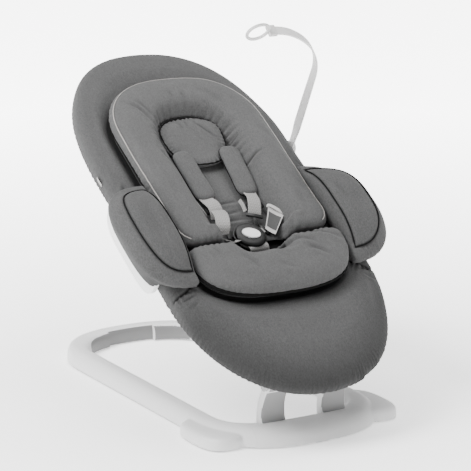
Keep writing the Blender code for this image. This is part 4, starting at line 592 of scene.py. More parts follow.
    @classmethod
    def copy_node(cls, node: str, bevel: float = 0.0) -> Piece:
        """Return a merged, bevelled copy of a rigid CAD node, which it replaces.

        Args:
            node: The CAD node's name.
            bevel: The width of its edges' rounding.

        Returns:
            The copy.
        """
        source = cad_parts[node]
        piece = bpy.data.objects.new(node + "_look", source.data.copy())
        bpy.context.scene.collection.objects.link(piece)
        cls.edit(piece)
        bpy.ops.mesh.remove_doubles(threshold=0.00002)
        bpy.ops.mesh.dissolve_limited(angle_limit=math.radians(1.0))
        bpy.ops.object.mode_set(mode="OBJECT")
        if bevel > 0.0:
            cls.apply(piece, "BEVEL", width=bevel, segments=3, limit_method="ANGLE",
                    angle_limit=math.radians(35.0), harden_normals=False)
        cls.shade(piece, 40.0)
        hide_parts(node)
        return piece


def mesh_rows(rows: bpy.types.bpy_prop_collection, key: str) -> np.ndarray:
    """Return a vector of every vertex or normal.

    Args:
        rows: The mesh's vertices or vertex normals.
        key: The vector's name.

    Returns:
        A row of X, Y and Z for each of them.
    """
    values = np.empty(len(rows) * 3, np.float32)
    rows.foreach_get(key, values)
    return values.reshape(-1, 3).astype(float)


def mesh_points(piece: Piece) -> np.ndarray:
    """Return a mesh's vertex places."""
    return mesh_rows(piece.data.vertices, "co")


def mesh_normals(piece: Piece) -> np.ndarray:
    """Return a mesh's vertex normals."""
    piece.data.update()
    return mesh_rows(piece.data.vertex_normals, "vector")


def place_points(piece: Piece, places: np.ndarray) -> None:
    """Move a mesh's vertices to new places."""
    piece.data.vertices.foreach_set("co", places.astype(np.float32).ravel())
    piece.data.update()


class Relief:
    """Small forms laid over a soft piece: seams, gathers, folds and dents, with shade painted into
    their hollows.
    """

    WAVES = 14

    def __init__(self, piece: Piece) -> None:
        """Read the piece's points and normals.

        Args:
            piece: The soft piece, in place.
        """
        self.piece = piece
        self.places = mesh_points(piece)
        self.normals = mesh_normals(piece)
        self.seat = SEAT.seat(self.places)
        self.facing = self.normals @ np.array(SEAT.normal)
        self.rise = np.zeros(len(self.places))
        # Painted shade for each vertex, from 0 to 1, which later darkens the cloth's colour.
        self.crease = np.zeros(len(self.places))

    def measure(self, path: Path) -> tuple[np.ndarray, np.ndarray, np.ndarray, float]:
        """Return every vertex's distance from a path, its way along it and its side.

        Args:
            path: Seat places as X and S, or as X, S and N.

        Returns:
            The distances, the ways along the path, the sides as -1 or 1, and the path's length.
        """
        line = np.asarray(path, float)
        spots = self.seat[:, :line.shape[1]]
        best = np.full(len(spots), 1e9)
        along = np.zeros(len(spots))
        side = np.ones(len(spots))
        start = 0.0
        for first, second in zip(line[:-1], line[1:]):
            run = second - first
            length = float(np.linalg.norm(run))
            if length < TINY:
                continue
            run = run / length
            offset = spots - first
            way = np.clip(offset @ run, 0.0, length)
            gap = np.linalg.norm(offset - np.outer(way, run), axis=1)
            nearer = gap < best
            best = np.where(nearer, gap, best)
            along = np.where(nearer, start + way, along)
            turn = run[0] * offset[:, 1] - run[1] * offset[:, 0]
            side = np.where(nearer, np.where(turn >= 0.0, 1.0, -1.0), side)
            start += length
        return best, along, side, start

    def _upper(self, path: Path) -> np.ndarray:
        """Return 1 on faces that look up from the seat, for paths without a level.

        Args:
            path: Seat places as X and S, or as X, S and N.

        Returns:
            A number from 0 to 1 for each vertex.
        """
        if len(path[0]) == 3:
            return np.ones(len(self.seat))
        return smooth_step(self.facing, 0.0, 0.35)

    def groove(self, path: Path, depth: float, width: float, dark: float = 0.8) -> None:
        """Press a seam into the piece along a path.

        Args:
            path: The seam's line in seat axes.
            depth: Its depth.
            width: Its half width.
            dark: How much shade is painted into its bottom.
        """
        gap, _, _, _ = self.measure(path)
        upper = self._upper(path)
        self.rise -= depth * np.exp(-(gap / width) ** 2) * upper
        # Painted shade along the seam's bottom.
        self.crease = np.maximum(self.crease, dark * np.exp(-(gap / (0.7 * width)) ** 2) * upper)

    def fold(self, path: Path, height: float, width: float, dark: float = 0.35) -> None:
        """Raise a fold along a path, with a dip on its left side.

        Args:
            path: The fold's line in seat axes.
            height: Its height.
            width: Its half width.
            dark: How much shade is painted into its dip.
        """
        gap, along, side, length = self.measure(path)
        taper = np.sin(math.pi * np.clip(along / length, 0.02, 0.98)) ** 0.7
        near = gap * side
        lift = np.exp(-((near + width) / width) ** 2) - np.exp(-((near - width) / width) ** 2)
        upper = self._upper(path) * taper
        self.rise += height * lift * upper
        # Painted shade in the fold's dip.
        self.crease = np.maximum(self.crease,
                dark * np.exp(-((near - width) / (0.8 * width)) ** 2) * upper)

    def gathers(self, path: Path, reach: float, depth: float, pitch: float,
            seed: int, side: int = 0, dark: float = 0.3) -> None:
        """Pleat the cloth beside a path, as a gathered seam does.

        Args:
            path: The seam's line in seat axes.
            reach: How far the pleats run from it.
            depth: The pleats' depth.
            pitch: Their spacing.
            seed: The seed of their unevenness.
            side: The side that has them, or 0 for both.
            dark: How much shade is painted into their dips.
        """
        gap, along, sides, _ = self.measure(path)
        rng = np.random.default_rng(seed)
        wobble = sum(weight * np.sin(along / (pitch * span) + phase)
                for weight, span, phase in zip((1.3, 0.9, 0.6), (1.7, 0.9, 0.47),
                                               rng.uniform(0.0, 6.28, 3)))
        strength = 0.55 + 0.45 * np.sin(along / (pitch * 2.3) + rng.uniform(0.0, 6.28))
        wave = np.sin(2.0 * math.pi * along / pitch + wobble)
        fade = np.exp(-(gap / reach) ** 1.5) * self._upper(path)
        if side:
            fade = fade * (sides == side)
        self.rise += depth * wave * strength * fade
        # Painted shade in the pleats' dips.
        self.crease = np.maximum(self.crease, dark * np.clip(-wave, 0.0, 1.0) ** 2
                * strength * np.exp(-(gap / (0.6 * reach)) ** 2) * (fade > 0.0))

    def lumps(self, height: float, size: float, seed: int) -> "Relief":
        """Give the stuffing a gentle unevenness.

        Args:
            height: The lumps' height.
            size: Their size.
            seed: The seed of their places.

        Returns:
            The relief.
        """
        rng = np.random.default_rng(seed)
        total = np.zeros(len(self.seat))
        for _ in range(self.WAVES):
            direction = rng.normal(size=3)
            direction /= np.linalg.norm(direction)
            pitch = size * rng.uniform(0.6, 1.6)
            total += np.sin(self.seat @ direction * (2.0 * math.pi / pitch)
                    + rng.uniform(0.0, 6.28))
        self.rise += height * total / math.sqrt(self.WAVES) * smooth_step(self.facing, -0.2, 0.5)
        return self

    def shadow(self, share: np.ndarray) -> None:
        """Paint shade into the cloth where a share is near 1."""
        self.crease = np.maximum(self.crease, share)

    def apply(self) -> None:
        """Move the piece's vertices and store the painted shade on them."""
        place_points(self.piece, self.places + self.normals * self.rise[:, None])
        attribute = self.piece.data.attributes.new("Crease", "FLOAT", "POINT")
        attribute.data.foreach_set("value", np.clip(self.crease, 0.0, 1.0).astype(np.float32))


def laid_on(piece: Piece, points: np.ndarray, lift: float) -> np.ndarray:
    """Return world points dropped square to the seat onto a piece.

    Args:
        piece: The piece that they come to lie on.
        points: World points near its surface.
        lift: How far they end above the surface.

    Returns:
        The points on the surface, or as they were where nothing lies below them.
    """
    tree = BVHTree.FromObject(piece, bpy.context.evaluated_depsgraph_get())
    normal, reach = SEAT.normal, 0.03
    laid = points.copy()
    for index, point in enumerate(points):
        hit = tree.ray_cast(Vector(point) + normal * reach, -normal, 2.0 * reach)[0]
        if hit is not None:
            laid[index] = np.array(hit + normal * lift)
    return laid


def open_path(plan: Plan, inset: float, low: float, high: float) -> np.ndarray:
    """Return the part of an outline between two places along the seat, over its other end.

    Args:
        plan: The outline.
        inset: How far it is drawn in.
        low: The lowest S that is kept.
        high: The highest S that is kept.

    Returns:
        X and S pairs in order, from one side of the gap to the other.
    """
    ring = plan.ring(inset)
    keep = (ring[:, 1] >= low) & (ring[:, 1] <= high)
    if keep.all():
        return closed(ring)
    start = int(np.argmax(~keep & np.roll(keep, -1))) + 1
    return np.roll(ring, -start, axis=0)[np.roll(keep, -start)]


class Wire:
    """A shader socket that sums, products and other maths can be written with."""

    def __init__(self, tree: bpy.types.NodeTree, socket: bpy.types.NodeSocket) -> None:
        """Keep the socket and its node tree."""
        self.tree = tree
        self.socket = socket

    def _math(self, operation: str, first: object, second: object = None,
            third: object = None) -> "Wire":
        """Return the result of one Math node.

        Args:
            operation: The node's operation.
            first: The first value or wire.
            second: The second one, if any.
            third: The third one, if any.

        Returns:
            The node's output.
        """
        node = self.tree.nodes.new("ShaderNodeMath")
        node.operation = operation
        for slot, value in enumerate((first, second, third)):
            if isinstance(value, Wire):
                self.tree.links.new(value.socket, node.inputs[slot])
            elif value is not None:
                node.inputs[slot].default_value = value
        return Wire(self.tree, node.outputs[0])

    def __add__(self, other: object) -> "Wire":
        """Return wire + value."""
        return self._math("ADD", self, other)

    def __radd__(self, other: object) -> "Wire":
        """Return value + wire."""
        return self._math("ADD", other, self)

    def __sub__(self, other: object) -> "Wire":
        """Return wire - value."""
        return self._math("SUBTRACT", self, other)

    def __rsub__(self, other: object) -> "Wire":
        """Return value - wire."""
        return self._math("SUBTRACT", other, self)

    def __mul__(self, other: object) -> "Wire":
        """Return wire * value."""
        return self._math("MULTIPLY", self, other)

    def __rmul__(self, other: object) -> "Wire":
        """Return value * wire."""
        return self._math("MULTIPLY", other, self)

    def __truediv__(self, other: object) -> "Wire":
        """Return wire / value."""
        return self._math("DIVIDE", self, other)

    def __rtruediv__(self, other: object) -> "Wire":
        """Return value / wire."""
        return self._math("DIVIDE", other, self)

    def __pow__(self, other: object) -> "Wire":
        """Return wire ** value."""
        return self._math("POWER", self, other)

    def sine(self) -> "Wire":
        """Return the sine."""
        return self._math("SINE", self)

    def absolute(self) -> "Wire":
        """Return the value without its sign."""
        return self._math("ABSOLUTE", self)

    def clamped(self) -> "Wire":
        """Return the value held between 0 and 1."""
        return self._math("MINIMUM", self._math("MAXIMUM", self, 0.0), 1.0)


class Paint:
    """A material with one principled shader, built up from wires."""

    def __init__(self, name: str) -> None:
        """Start a material with its shader.

        Args:
            name: The material's name.
        """
        self.material = bpy.data.materials.new(name)
        self.material.use_nodes = True
        self.tree = self.material.node_tree
        self.shader = self.tree.nodes["Principled BSDF"]

    def node(self, kind: str, settings: dict[str, object] | None = None,
            **inputs: object) -> bpy.types.Node:
        """Return a new node with its settings and inputs filled in.

        Args:
            kind: The node's type.
            settings: Its settings, made first.
            **inputs: Its inputs by name, with _ for a space.

        Returns:
            The new node.
        """
        made = self.tree.nodes.new(kind)
        for key, value in (settings or {}).items():
            setattr(made, key, value)
        for key, value in inputs.items():
            self.feed(made.inputs[key.replace("_", " ")], value)
        return made

    def feed(self, socket: bpy.types.NodeSocket, value: object) -> None:
        """Give a socket a wire or a plain value.

        Args:
            socket: The socket.
            value: The wire or the value.
        """
        if isinstance(value, Wire):
            self.tree.links.new(value.socket, socket)
        else:
            socket.default_value = value

    def wire(self, node: bpy.types.Node, output: str | int = 0) -> Wire:
        """Return one of a node's outputs."""
        return Wire(self.tree, node.outputs[output])

    def parts(self, vector: Wire) -> tuple[Wire, ...]:
        """Return a vector's X, Y and Z."""
        node = self.node("ShaderNodeSeparateXYZ", Vector=vector)
        return tuple(self.wire(node, number) for number in range(3))

    def place(self, turn: float = 0.0) -> Wire:
        """Return the piece's own coordinates, turned about X.

        Args:
            turn: The turn, in radians.

        Returns:
            The coordinates.
        """
        coordinates = self.wire(self.node("ShaderNodeTexCoord"), "Object")
        if not turn:
            return coordinates
        return self.wire(self.node("ShaderNodeMapping", Vector=coordinates,
                Rotation=(turn, 0.0, 0.0)))

    def grain(self, place: Wire, scale: float, detail: float = 2.0,
            stretch: Sequence[float] = (1.0, 1.0, 1.0)) -> Wire:
        """Return a noise between 0 and 1 with the given features per metre.

        Args:
            place: The coordinates.
            scale: Features per metre.
            detail: How much finer it goes.
            stretch: The coordinates' scale along each axis.

        Returns:
            The noise.
        """
        stretched = self.wire(self.node("ShaderNodeMapping", Vector=place, Scale=tuple(stretch)))
        return self.wire(self.node("ShaderNodeTexNoise", Vector=stretched, Scale=scale,
                Detail=detail))

    def attribute(self, name: str) -> Wire:
        """Return a number stored on the mesh."""
        return self.wire(self.node("ShaderNodeAttribute", {"attribute_name": name}), "Fac")

    def mix(self, share: Wire | float, first: Sequence[float], second: Sequence[float]) -> Wire:
        """Return a colour between two others.

        Args:
            share: How much of the second.
            first: The colour at 0.
            second: The colour at 1.

        Returns:
            The mixed colour.
        """
        node = self.node("ShaderNodeMix", {"data_type": "RGBA"})
        self.feed(node.inputs[0], share)
        for socket, value in ((node.inputs[6], first), (node.inputs[7], second)):
            self.feed(socket, value if isinstance(value, Wire) else (*value, 1.0))
        return Wire(self.tree, node.outputs[2])

    def bump(self, height: Wire, strength: float, distance: float) -> Wire:
        """Return a normal from a height."""
        return self.wire(self.node("ShaderNodeBump", Height=height, Strength=strength,
                Distance=distance))

    def finish(self, **sockets: object) -> bpy.types.Material:
        """Fill in the shader's sockets and return the material.

        Args:
            **sockets: The shader's inputs by name, with _ for a space.

        Returns:
            The finished material.
        """
        for key, value in sockets.items():
            self.feed(self.shader.inputs[key.replace("_", " ")], value)
        return self.material


def grey(level: float, warmth: float = 0.0) -> tuple[float, float, float]:
    """Return a grey of a linear level, a little warm or cool."""
    return (level * (1.0 + warmth), level, level * (1.0 - warmth))


@dataclass(frozen=True)
class WovenCloth:
    """A heathered, finely woven grey cloth, with shade painted into its creases, seams and shaded
    parts.
    """

    name: str
    level: float
    mottle: float = 0.25
    # The colour at full painted shade, as a share of the cloth's level.
    crease: float = 0.1

    def build(self) -> bpy.types.Material:
        """Return the cloth's material.

        Returns:
            The material.
        """
        paint = Paint(self.name)
        place = paint.place(-SEAT.slope)
        across, along, _ = paint.parts(place)
        fibres = paint.grain(place, 620.0, 3.0, (1.0, 0.45, 0.7))
        slubs = paint.grain(place, 260.0, 2.0, (1.0, 0.16, 0.6))
        patches = paint.grain(place, 22.0, 2.0)
        weave = (across * 5200.0).sine() * (along * 5200.0).sine()
        share = ((fibres - 0.5) * 1.9 + (slubs - 0.5) * 0.45 + (patches - 0.5) * 0.2
                + weave * 0.06 + 0.5).clamped()
        low = grey(self.level * (1.0 - self.mottle))
        high = grey(self.level * (1.0 + self.mottle))
        cloth = paint.mix(share, low, high)
        # Painted shade: the cloth darkens where the vertices' stored shade is high.
        crease = paint.attribute("Crease").clamped()
        colour = paint.mix(crease, cloth, grey(self.level * self.crease))
        height = fibres * 0.6 + slubs * 0.3 + weave * 0.2
        return paint.finish(Base_Color=colour, Roughness=0.92, Specular_IOR_Level=0.15,
                Sheen_Weight=0.05, Sheen_Roughness=0.5, Normal=paint.bump(height, 0.45, 0.0006))


@dataclass(frozen=True)
class Webbing:
    """A woven strap with fine slanting ribs."""

    name: str
    level: float

    def build(self) -> bpy.types.Material:
        """Return the strap's material.

        Returns:
            The material.
        """
        paint = Paint(self.name)
        place = paint.place(-SEAT.slope)
        across = paint.parts(place)[0]
        along = paint.attribute("Along")
        slant = (across * 420.0).sine().absolute() * 0.006
        ribs = ((along + slant) * 1250.0).sine() * 0.5 + 0.5
        fibres = paint.grain(place, 1400.0, 2.0)
        share = (ribs * 0.6 + fibres * 0.4).clamped()
        colour = paint.mix(share, grey(self.level * 0.62, 0.02), grey(self.level * 1.2, 0.02))
        return paint.finish(Base_Color=colour, Roughness=0.8, Specular_IOR_Level=0.2,
                Normal=paint.bump(ribs + fibres * 0.5, 0.5, 0.0003))


@dataclass(frozen=True)
class Plastic:
    """A moulded plastic with a soft sheen and a faint grain."""

    name: str
    level: float
    roughness: float = 0.38
    warmth: float = 0.0
    speckle: float = 0.0
    gloss: float = 0.45

    def build(self) -> bpy.types.Material:
        """Return the plastic's material.

        Returns:
            The material.
        """
        paint = Paint(self.name)
        place = paint.place()
        light = grey(self.level, self.warmth)
        colour: Wire | tuple[float, ...] = (*light, 1.0)
        if self.speckle:
            dark = grey(self.level * (1.0 - self.speckle), self.warmth)
            colour = paint.mix(paint.grain(place, 700.0, 3.0).clamped(), dark, light)
        grain = paint.grain(place, 1800.0, 1.0)
        return paint.finish(Base_Color=colour, Roughness=self.roughness,
                Specular_IOR_Level=self.gloss, Normal=paint.bump(grain, 0.08, 0.0001))


@dataclass(frozen=True)
class Steel:
    """Plain steel, lightly brushed."""

    name: str
    level: float = 0.55
    roughness: float = 0.32

    def build(self) -> bpy.types.Material:
        """Return the steel's material.

        Returns:
            The material.
        """
        paint = Paint(self.name)
        brush = paint.grain(paint.place(), 500.0, 2.0, (0.1, 1.0, 1.0))
        return paint.finish(Base_Color=(*grey(self.level), 1.0), Metallic=1.0,
                Roughness=(brush * 0.15 + self.roughness - 0.07).clamped(),
                Normal=paint.bump(brush, 0.1, 0.0001))


class Finish(Enum):
    """The lounger's finishes, each with the record's slot it stands for."""

    WHITE = (Plastic("white_plastic_look", 0.78, 0.34), "white_plastic")
    # A darker copy of the white plastic: painted shade on the rear recess and a painted contact
    # shadow at the floor.
    RECESS = (Plastic("recess_look", 0.2, 0.5), "white_plastic")
    # A darker copy of the white plastic: painted shade on the risers' front faces.
    INLAY = (Plastic("riser_inlay_look", 0.24, 0.5), "white_plastic")
    GREY = (Plastic("grey_plastic_look", 0.44, 0.45, 0.01), "grey_plastic")
    STRIP = (Plastic("toy_strip_look", 0.58, 0.5, 0.008, 0.1), "grey_plastic")
    DARK = (Plastic("dark_plastic_look", 0.008, 0.4, 0.0, 0.0, 0.22), "dark_plastic")
    CAP = (Plastic("axle_cap_look", 0.4, 0.45), "dark_plastic")
    BUTTON = (Plastic("button_look", 0.72, 0.4), "white_plastic")
    RUBBER = (Plastic("rubber_look", 0.06, 0.8), "rubber")
    STEEL = (Steel("steel_look"), "steel")
    COVER = (WovenCloth("cover_fabric_look", 0.06), "cover_fabric")
    INSERT = (WovenCloth("insert_fabric_look", 0.072, 0.22), "insert_fabric")
    WEB = (Webbing("webbing_look", 0.25), "webbing")
    PIPING = (Plastic("piping_look", 0.24, 0.7, 0.05), "webbing")
    TRIM = (Plastic("trim_look", 0.004, 0.85, 0.0, 0.0, 0.08), "cover_fabric")
    TAG = (Plastic("tag_look", 0.32, 0.75, 0.02), "webbing")
    TAG_FACE = (Plastic("tag_face_look", 0.035, 0.75, 0.0, 0.3), "webbing")

    def __init__(self, recipe: object, slot: str) -> None:
        """Keep a finish's recipe and slot.

        Args:
            recipe: What makes its material.
            slot: The record's slot.
        """
        self.recipe = recipe
        self.slot = slot
        self._made: bpy.types.Material | None = None

    @property
    def material(self) -> bpy.types.Material:
        """Return the finish's material, made at its first use."""
        self._made = self._made or self.recipe.build()
        return self._made


def fit_out(piece: Piece, finish: Finish, body: Body, *nodes: str,
        fill: float | None = None) -> None:
    """Give a finished piece its material and its body, and hide the CAD nodes it stands for.

    Args:
        piece: The finished piece, in place.
        finish: Its finish.
        body: The CAD body it moves with.
        nodes: The CAD nodes it replaces.
        fill: How full it is, where it's a stuffed piece. Not used.
    """
    piece.data.materials.clear()
    piece.data.materials.append(finish.material)
    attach(piece, body.value)
    if nodes:
        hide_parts(*nodes)
    LOG.info("%s: %d faces, %s", piece.name, len(piece.data.polygons), finish.name.lower())


@dataclass(frozen=True)
class FloorLoop:
    """The white loop on the floor: two rails, a front bar, a rear connector and its feet."""

    spread: float = 0.286
    front_y: float = -0.3053
    front_straight: float = -0.1893
    rear_straight: float = 0.2272
    rear_y: float = 0.3497
    front_power: float = 2.6
    rear_power: float = 2.35
    rail_half: float = 0.022
    front_half: float = 0.036
    floor_z: float = 0.002
    height: float = 0.029
    side_section: float = 2.7
    rear_section: float = 3.8
    crest_shift: float = 0.008
    front_joint: float = 0.109
    rear_joint: float = 0.048
    rear_recess: float = 0.009
    pad_x: float = 0.1505
    pad_y: float = -0.2363
    rubber_height: float = 0.0017
    rubber_radius: float = 0.016
    joint_gap: float = 0.00015
    # Height above the floor below which a contact shadow is painted.
    edge_height: float = 0.0012
    section_steps: int = 28

    def build(self) -> None:
        """Build the whole loop."""
        self._dress(self._front_bar(), "front_bar")
        for side in Side:
            self._dress(self._rail(side), "floor_rail_" + side.suffix)
        self._dress(self._rear_connector(), "rear_connector")
        self._rubber_feet()

    def _place(self, zone: Zone, share: float) -> np.ndarray:
        """Return a place on the right half of the loop's middle line.

        Args:
            zone: The stretch of the line.
            share: The way along the zone, from 0 to 1.

        Returns:
            The place.
        """
        half = 0.5 * self.spread
        if zone is Zone.SIDE:
            return np.array((half, self.front_straight
                    + (self.rear_straight - self.front_straight) * share, 0.0))
        angle = 0.5 * math.pi * share
        front = zone is Zone.FRONT
        power = self.front_power if front else self.rear_power
        x = half * math.sin(angle) ** (2.0 / power)
        reach = max(math.cos(angle), 0.0) ** (2.0 / power)
        straight = self.front_straight if front else self.rear_straight
        end = self.front_y if front else self.rear_y
        return np.array((x, straight + (end - straight) * reach, 0.0))

    def _share(self, x: float, power: float) -> float:
        """Return the share along a rounded end at which the middle line reaches x."""
        return math.asin((2.0 * x / self.spread) ** (0.5 * power)) / (0.5 * math.pi)

    def _section(self, place: np.ndarray, outward: np.ndarray, half_out: float, half_in: float,
            shift: float, power: float) -> np.ndarray:
        """Return one domed section of the loop.

        Args:
            place: Its place on the middle line.
            outward: The direction away from the loop's middle.
            half_out: Its outer half width.
            half_in: Its inner half width.
            shift: How far its crest leans inwards.
            power: How square it is.

        Returns:
            The section's points.
        """
        angle = math.pi * np.arange(self.section_steps + 1) / self.section_steps
        reach = squared(np.cos(angle), power)
        rise = squared(np.maximum(np.sin(angle), 0.0), power)
        rise[0] = rise[-1] = 0.0
        offset = np.where(reach > 0.0, reach * half_out, reach * half_in) - shift * rise
        spots = place + np.outer(offset, outward)
        spots[:, 2] = self.floor_z + self.height * rise
        return spots

    def _rings(self, stations: Sequence[tuple[Zone, float]], side: Side) -> list[np.ndarray]:
        """Return the loop's sections at a row of stations on one side.

        Args:
            stations: Pairs of a zone and a share.
            side: The loop's side.

        Returns:
            The sections, in the stations' order.
        """
        places = [self._place(zone, share) for zone, share in stations]
        rings = []
        for index, (zone, share) in enumerate(stations):
            run = run_at(places, index)
            outward = np.array((-run[1], run[0], 0.0))
            if outward @ places[index] < 0.0:
                outward = -outward
            if zone is not Zone.SIDE and share == 0.0:
                outward = np.array((0.0, math.copysign(1.0, places[index][1]), 0.0))
            widen = 1.0 - float(smooth_step(share)) if zone is Zone.FRONT else 0.0
            half = self.rail_half + (self.front_half - self.rail_half) * widen
            square = float(smooth_step(2.0 * (1.0 - share))) if zone is Zone.REAR else 0.0
            power = self.side_section + (self.rear_section - self.side_section) * square
            ring = self._section(places[index], outward, half, half, self.crest_shift * widen,
                    power)
            rings.append(ring * np.array((side.value, 1.0, 1.0)))
        return rings

    def _rail(self, side: Side) -> Piece:
        """Return one rail with its rear corner and its foot pad.

        Args:
            side: The rail's side.

        Returns:
            The rail.
        """
        front = self._share(self.front_joint - self.rail_half, self.front_power)
        rear = self._share(self.rear_joint - 0.3 * self.rail_half, self.rear_power)
        stations = [(Zone.FRONT, front + (1.0 - front) * step / 24.0) for step in range(24)]
        stations += [(Zone.SIDE, step / 24.0) for step in range(25)]
        stations += [(Zone.REAR, 1.0 - (1.0 - rear) * step / 36.0) for step in range(1, 37)]
        rail = Bench.sweep("floor_rail_" + side.suffix + "_look", self._rings(stations, side))
        Bench.combine(rail, self._foot_pad(side))
        Bench.soften(rail, 0.0016, 5)
        sign = side.value
        Bench.trim(rail, (sign * (self.rear_joint + self.joint_gap), 0.3, 0.0), (-sign, 0.0, 0.0))
        self._trim_front(rail, sign)
        self._flatten_base(rail)
        return Bench.shade(rail, 40.0)

    def _trim_front(self, rail: Piece, sign: int) -> None:
        """Cut the rail's front end square at its joint with the front bar.

        Args:
            rail: The rail.
            sign: The sign of its side.
        """
        width = 0.1
        Bench.clear()
        bpy.ops.mesh.primitive_cube_add(size=1.0)
        block = bpy.context.object
        block.name = "joint_block"
        edge = sign * (self.front_joint + self.joint_gap - 0.5 * width)
        block.data.transform(Matrix.Translation((edge, self.front_y + 0.08, 0.0))
                @ Matrix.Diagonal((width, 0.3, 0.2, 1.0)))
        Bench.combine(rail, block, "DIFFERENCE")

    def _dress(self, piece: Piece, node: str) -> None:
        """Finish a moulding in white, with painted shade in a darker white on its rear recess and a
        painted contact shadow along its thin edge at the floor.

        Args:
            piece: The moulding.
            node: The CAD node that it replaces.
        """
        fit_out(piece, Finish.WHITE, Body.BASE, node)
        # Painted shade: the recessed inner face under the seat and the faces at the floor take the
        # darker white.
        piece.data.materials.append(Finish.RECESS.material)
        for face in piece.data.polygons:
            centre = face.center
            inner = face.normal.y < -0.6 and centre.y > 0.25 and abs(centre.x) < 0.104
            recess = inner and centre.z < self.floor_z + 0.9 * self.height
            if recess or centre.z < self.floor_z + self.edge_height:
                face.material_index = 1

    def _flatten_base(self, piece: Piece) -> None:
        """Press a moulding's underside back onto its level.

        Args:
            piece: The moulding.
        """
        places = mesh_points(piece)
        low = places[:, 2] < self.floor_z + 0.0006
        places[low, 2] = self.floor_z
        place_points(piece, places)

    def _foot_pad(self, side: Side) -> Piece:
        """Return the domed pad at one front corner.

        Args:
            side: The pad's side.

        Returns:
            The pad.
        """
        rings = []
        for inset, share in ((0.0, 0.0), (0.0, 0.35), (0.0005, 0.62), (0.0015, 0.74),
                (0.003, 0.84), (0.0055, 0.91), (0.009, 0.96), (0.0135, 0.985),
                (0.018, 1.0)):
            plan = Plan(0.0405, -0.066, -0.001, 0.001, 0.066, 2.8, 2.8)
            ring = plan.ring(inset, 18, 2)
            points = lifted(ring, self.floor_z + 0.0215 * share)
            rings.append(points + np.array((side.value * self.pad_x, self.pad_y, 0.0)))
        return Bench.sweep("foot_pad_" + side.suffix, rings)

    def _front_bar(self) -> Piece:
        """Return the bowed front bar.

        Returns:
            The bar.
        """
        reach = self._share(self.front_joint + self.rail_half, self.front_power)
        stations = [(Zone.FRONT, reach * step / 30.0) for step in range(31)]
        right = self._rings(stations, Side.RIGHT)
        left = self._rings(stations, Side.LEFT)[:0:-1]
        bar = Bench.sweep("front_bar_look", left + right)
        Bench.soften(bar, 0.0016, 3)
        for sign in (1.0, -1.0):
            Bench.trim(bar, (sign * (self.front_joint - self.joint_gap), -0.3, 0.0),
                    (sign, 0.0, 0.0))
        self._flatten_base(bar)
        return Bench.shade(bar, 40.0)

    def _rear_connector(self) -> Piece:
        """Return the short rear bar, recessed on its inner side.

        Returns:
            The connector.
        """
        share = self._share(self.rear_joint - self.joint_gap, self.rear_power)
        rings = []
        for step in range(-12, 13):
            place = self._place(Zone.REAR, share * abs(step) / 12.0)
            place[0] = math.copysign(place[0], step)
            rings.append(self._section(place, np.array((0.0, 1.0, 0.0)), self.rail_half,
                    self.rail_half - self.rear_recess, 0.0, self.rear_section))
        return Bench.shade(Bench.sweep("rear_connector_look", rings), 40.0)

    def _rubber_feet(self) -> None:
        """Build the four thin rubber feet."""
        spots = {"front_left": (-self.pad_x, self.pad_y), "front_right": (self.pad_x, self.pad_y),
                "rear_left": (-0.5 * self.spread, self.rear_straight),
                "rear_right": (0.5 * self.spread, self.rear_straight)}
        for name, (x, y) in spots.items():
            angle = circle(64)
            ring = np.column_stack([x + self.rubber_radius * np.cos(angle),
                    y + self.rubber_radius * np.sin(angle)])
            foot = Bench.sweep("rubber_foot_" + name + "_look",
                    [lifted(ring, 0.0), lifted(ring, self.rubber_height)])
            Bench.shade(foot, 40.0)
            fit_out(foot, Finish.RUBBER, Body.BASE, "rubber_foot_" + name)


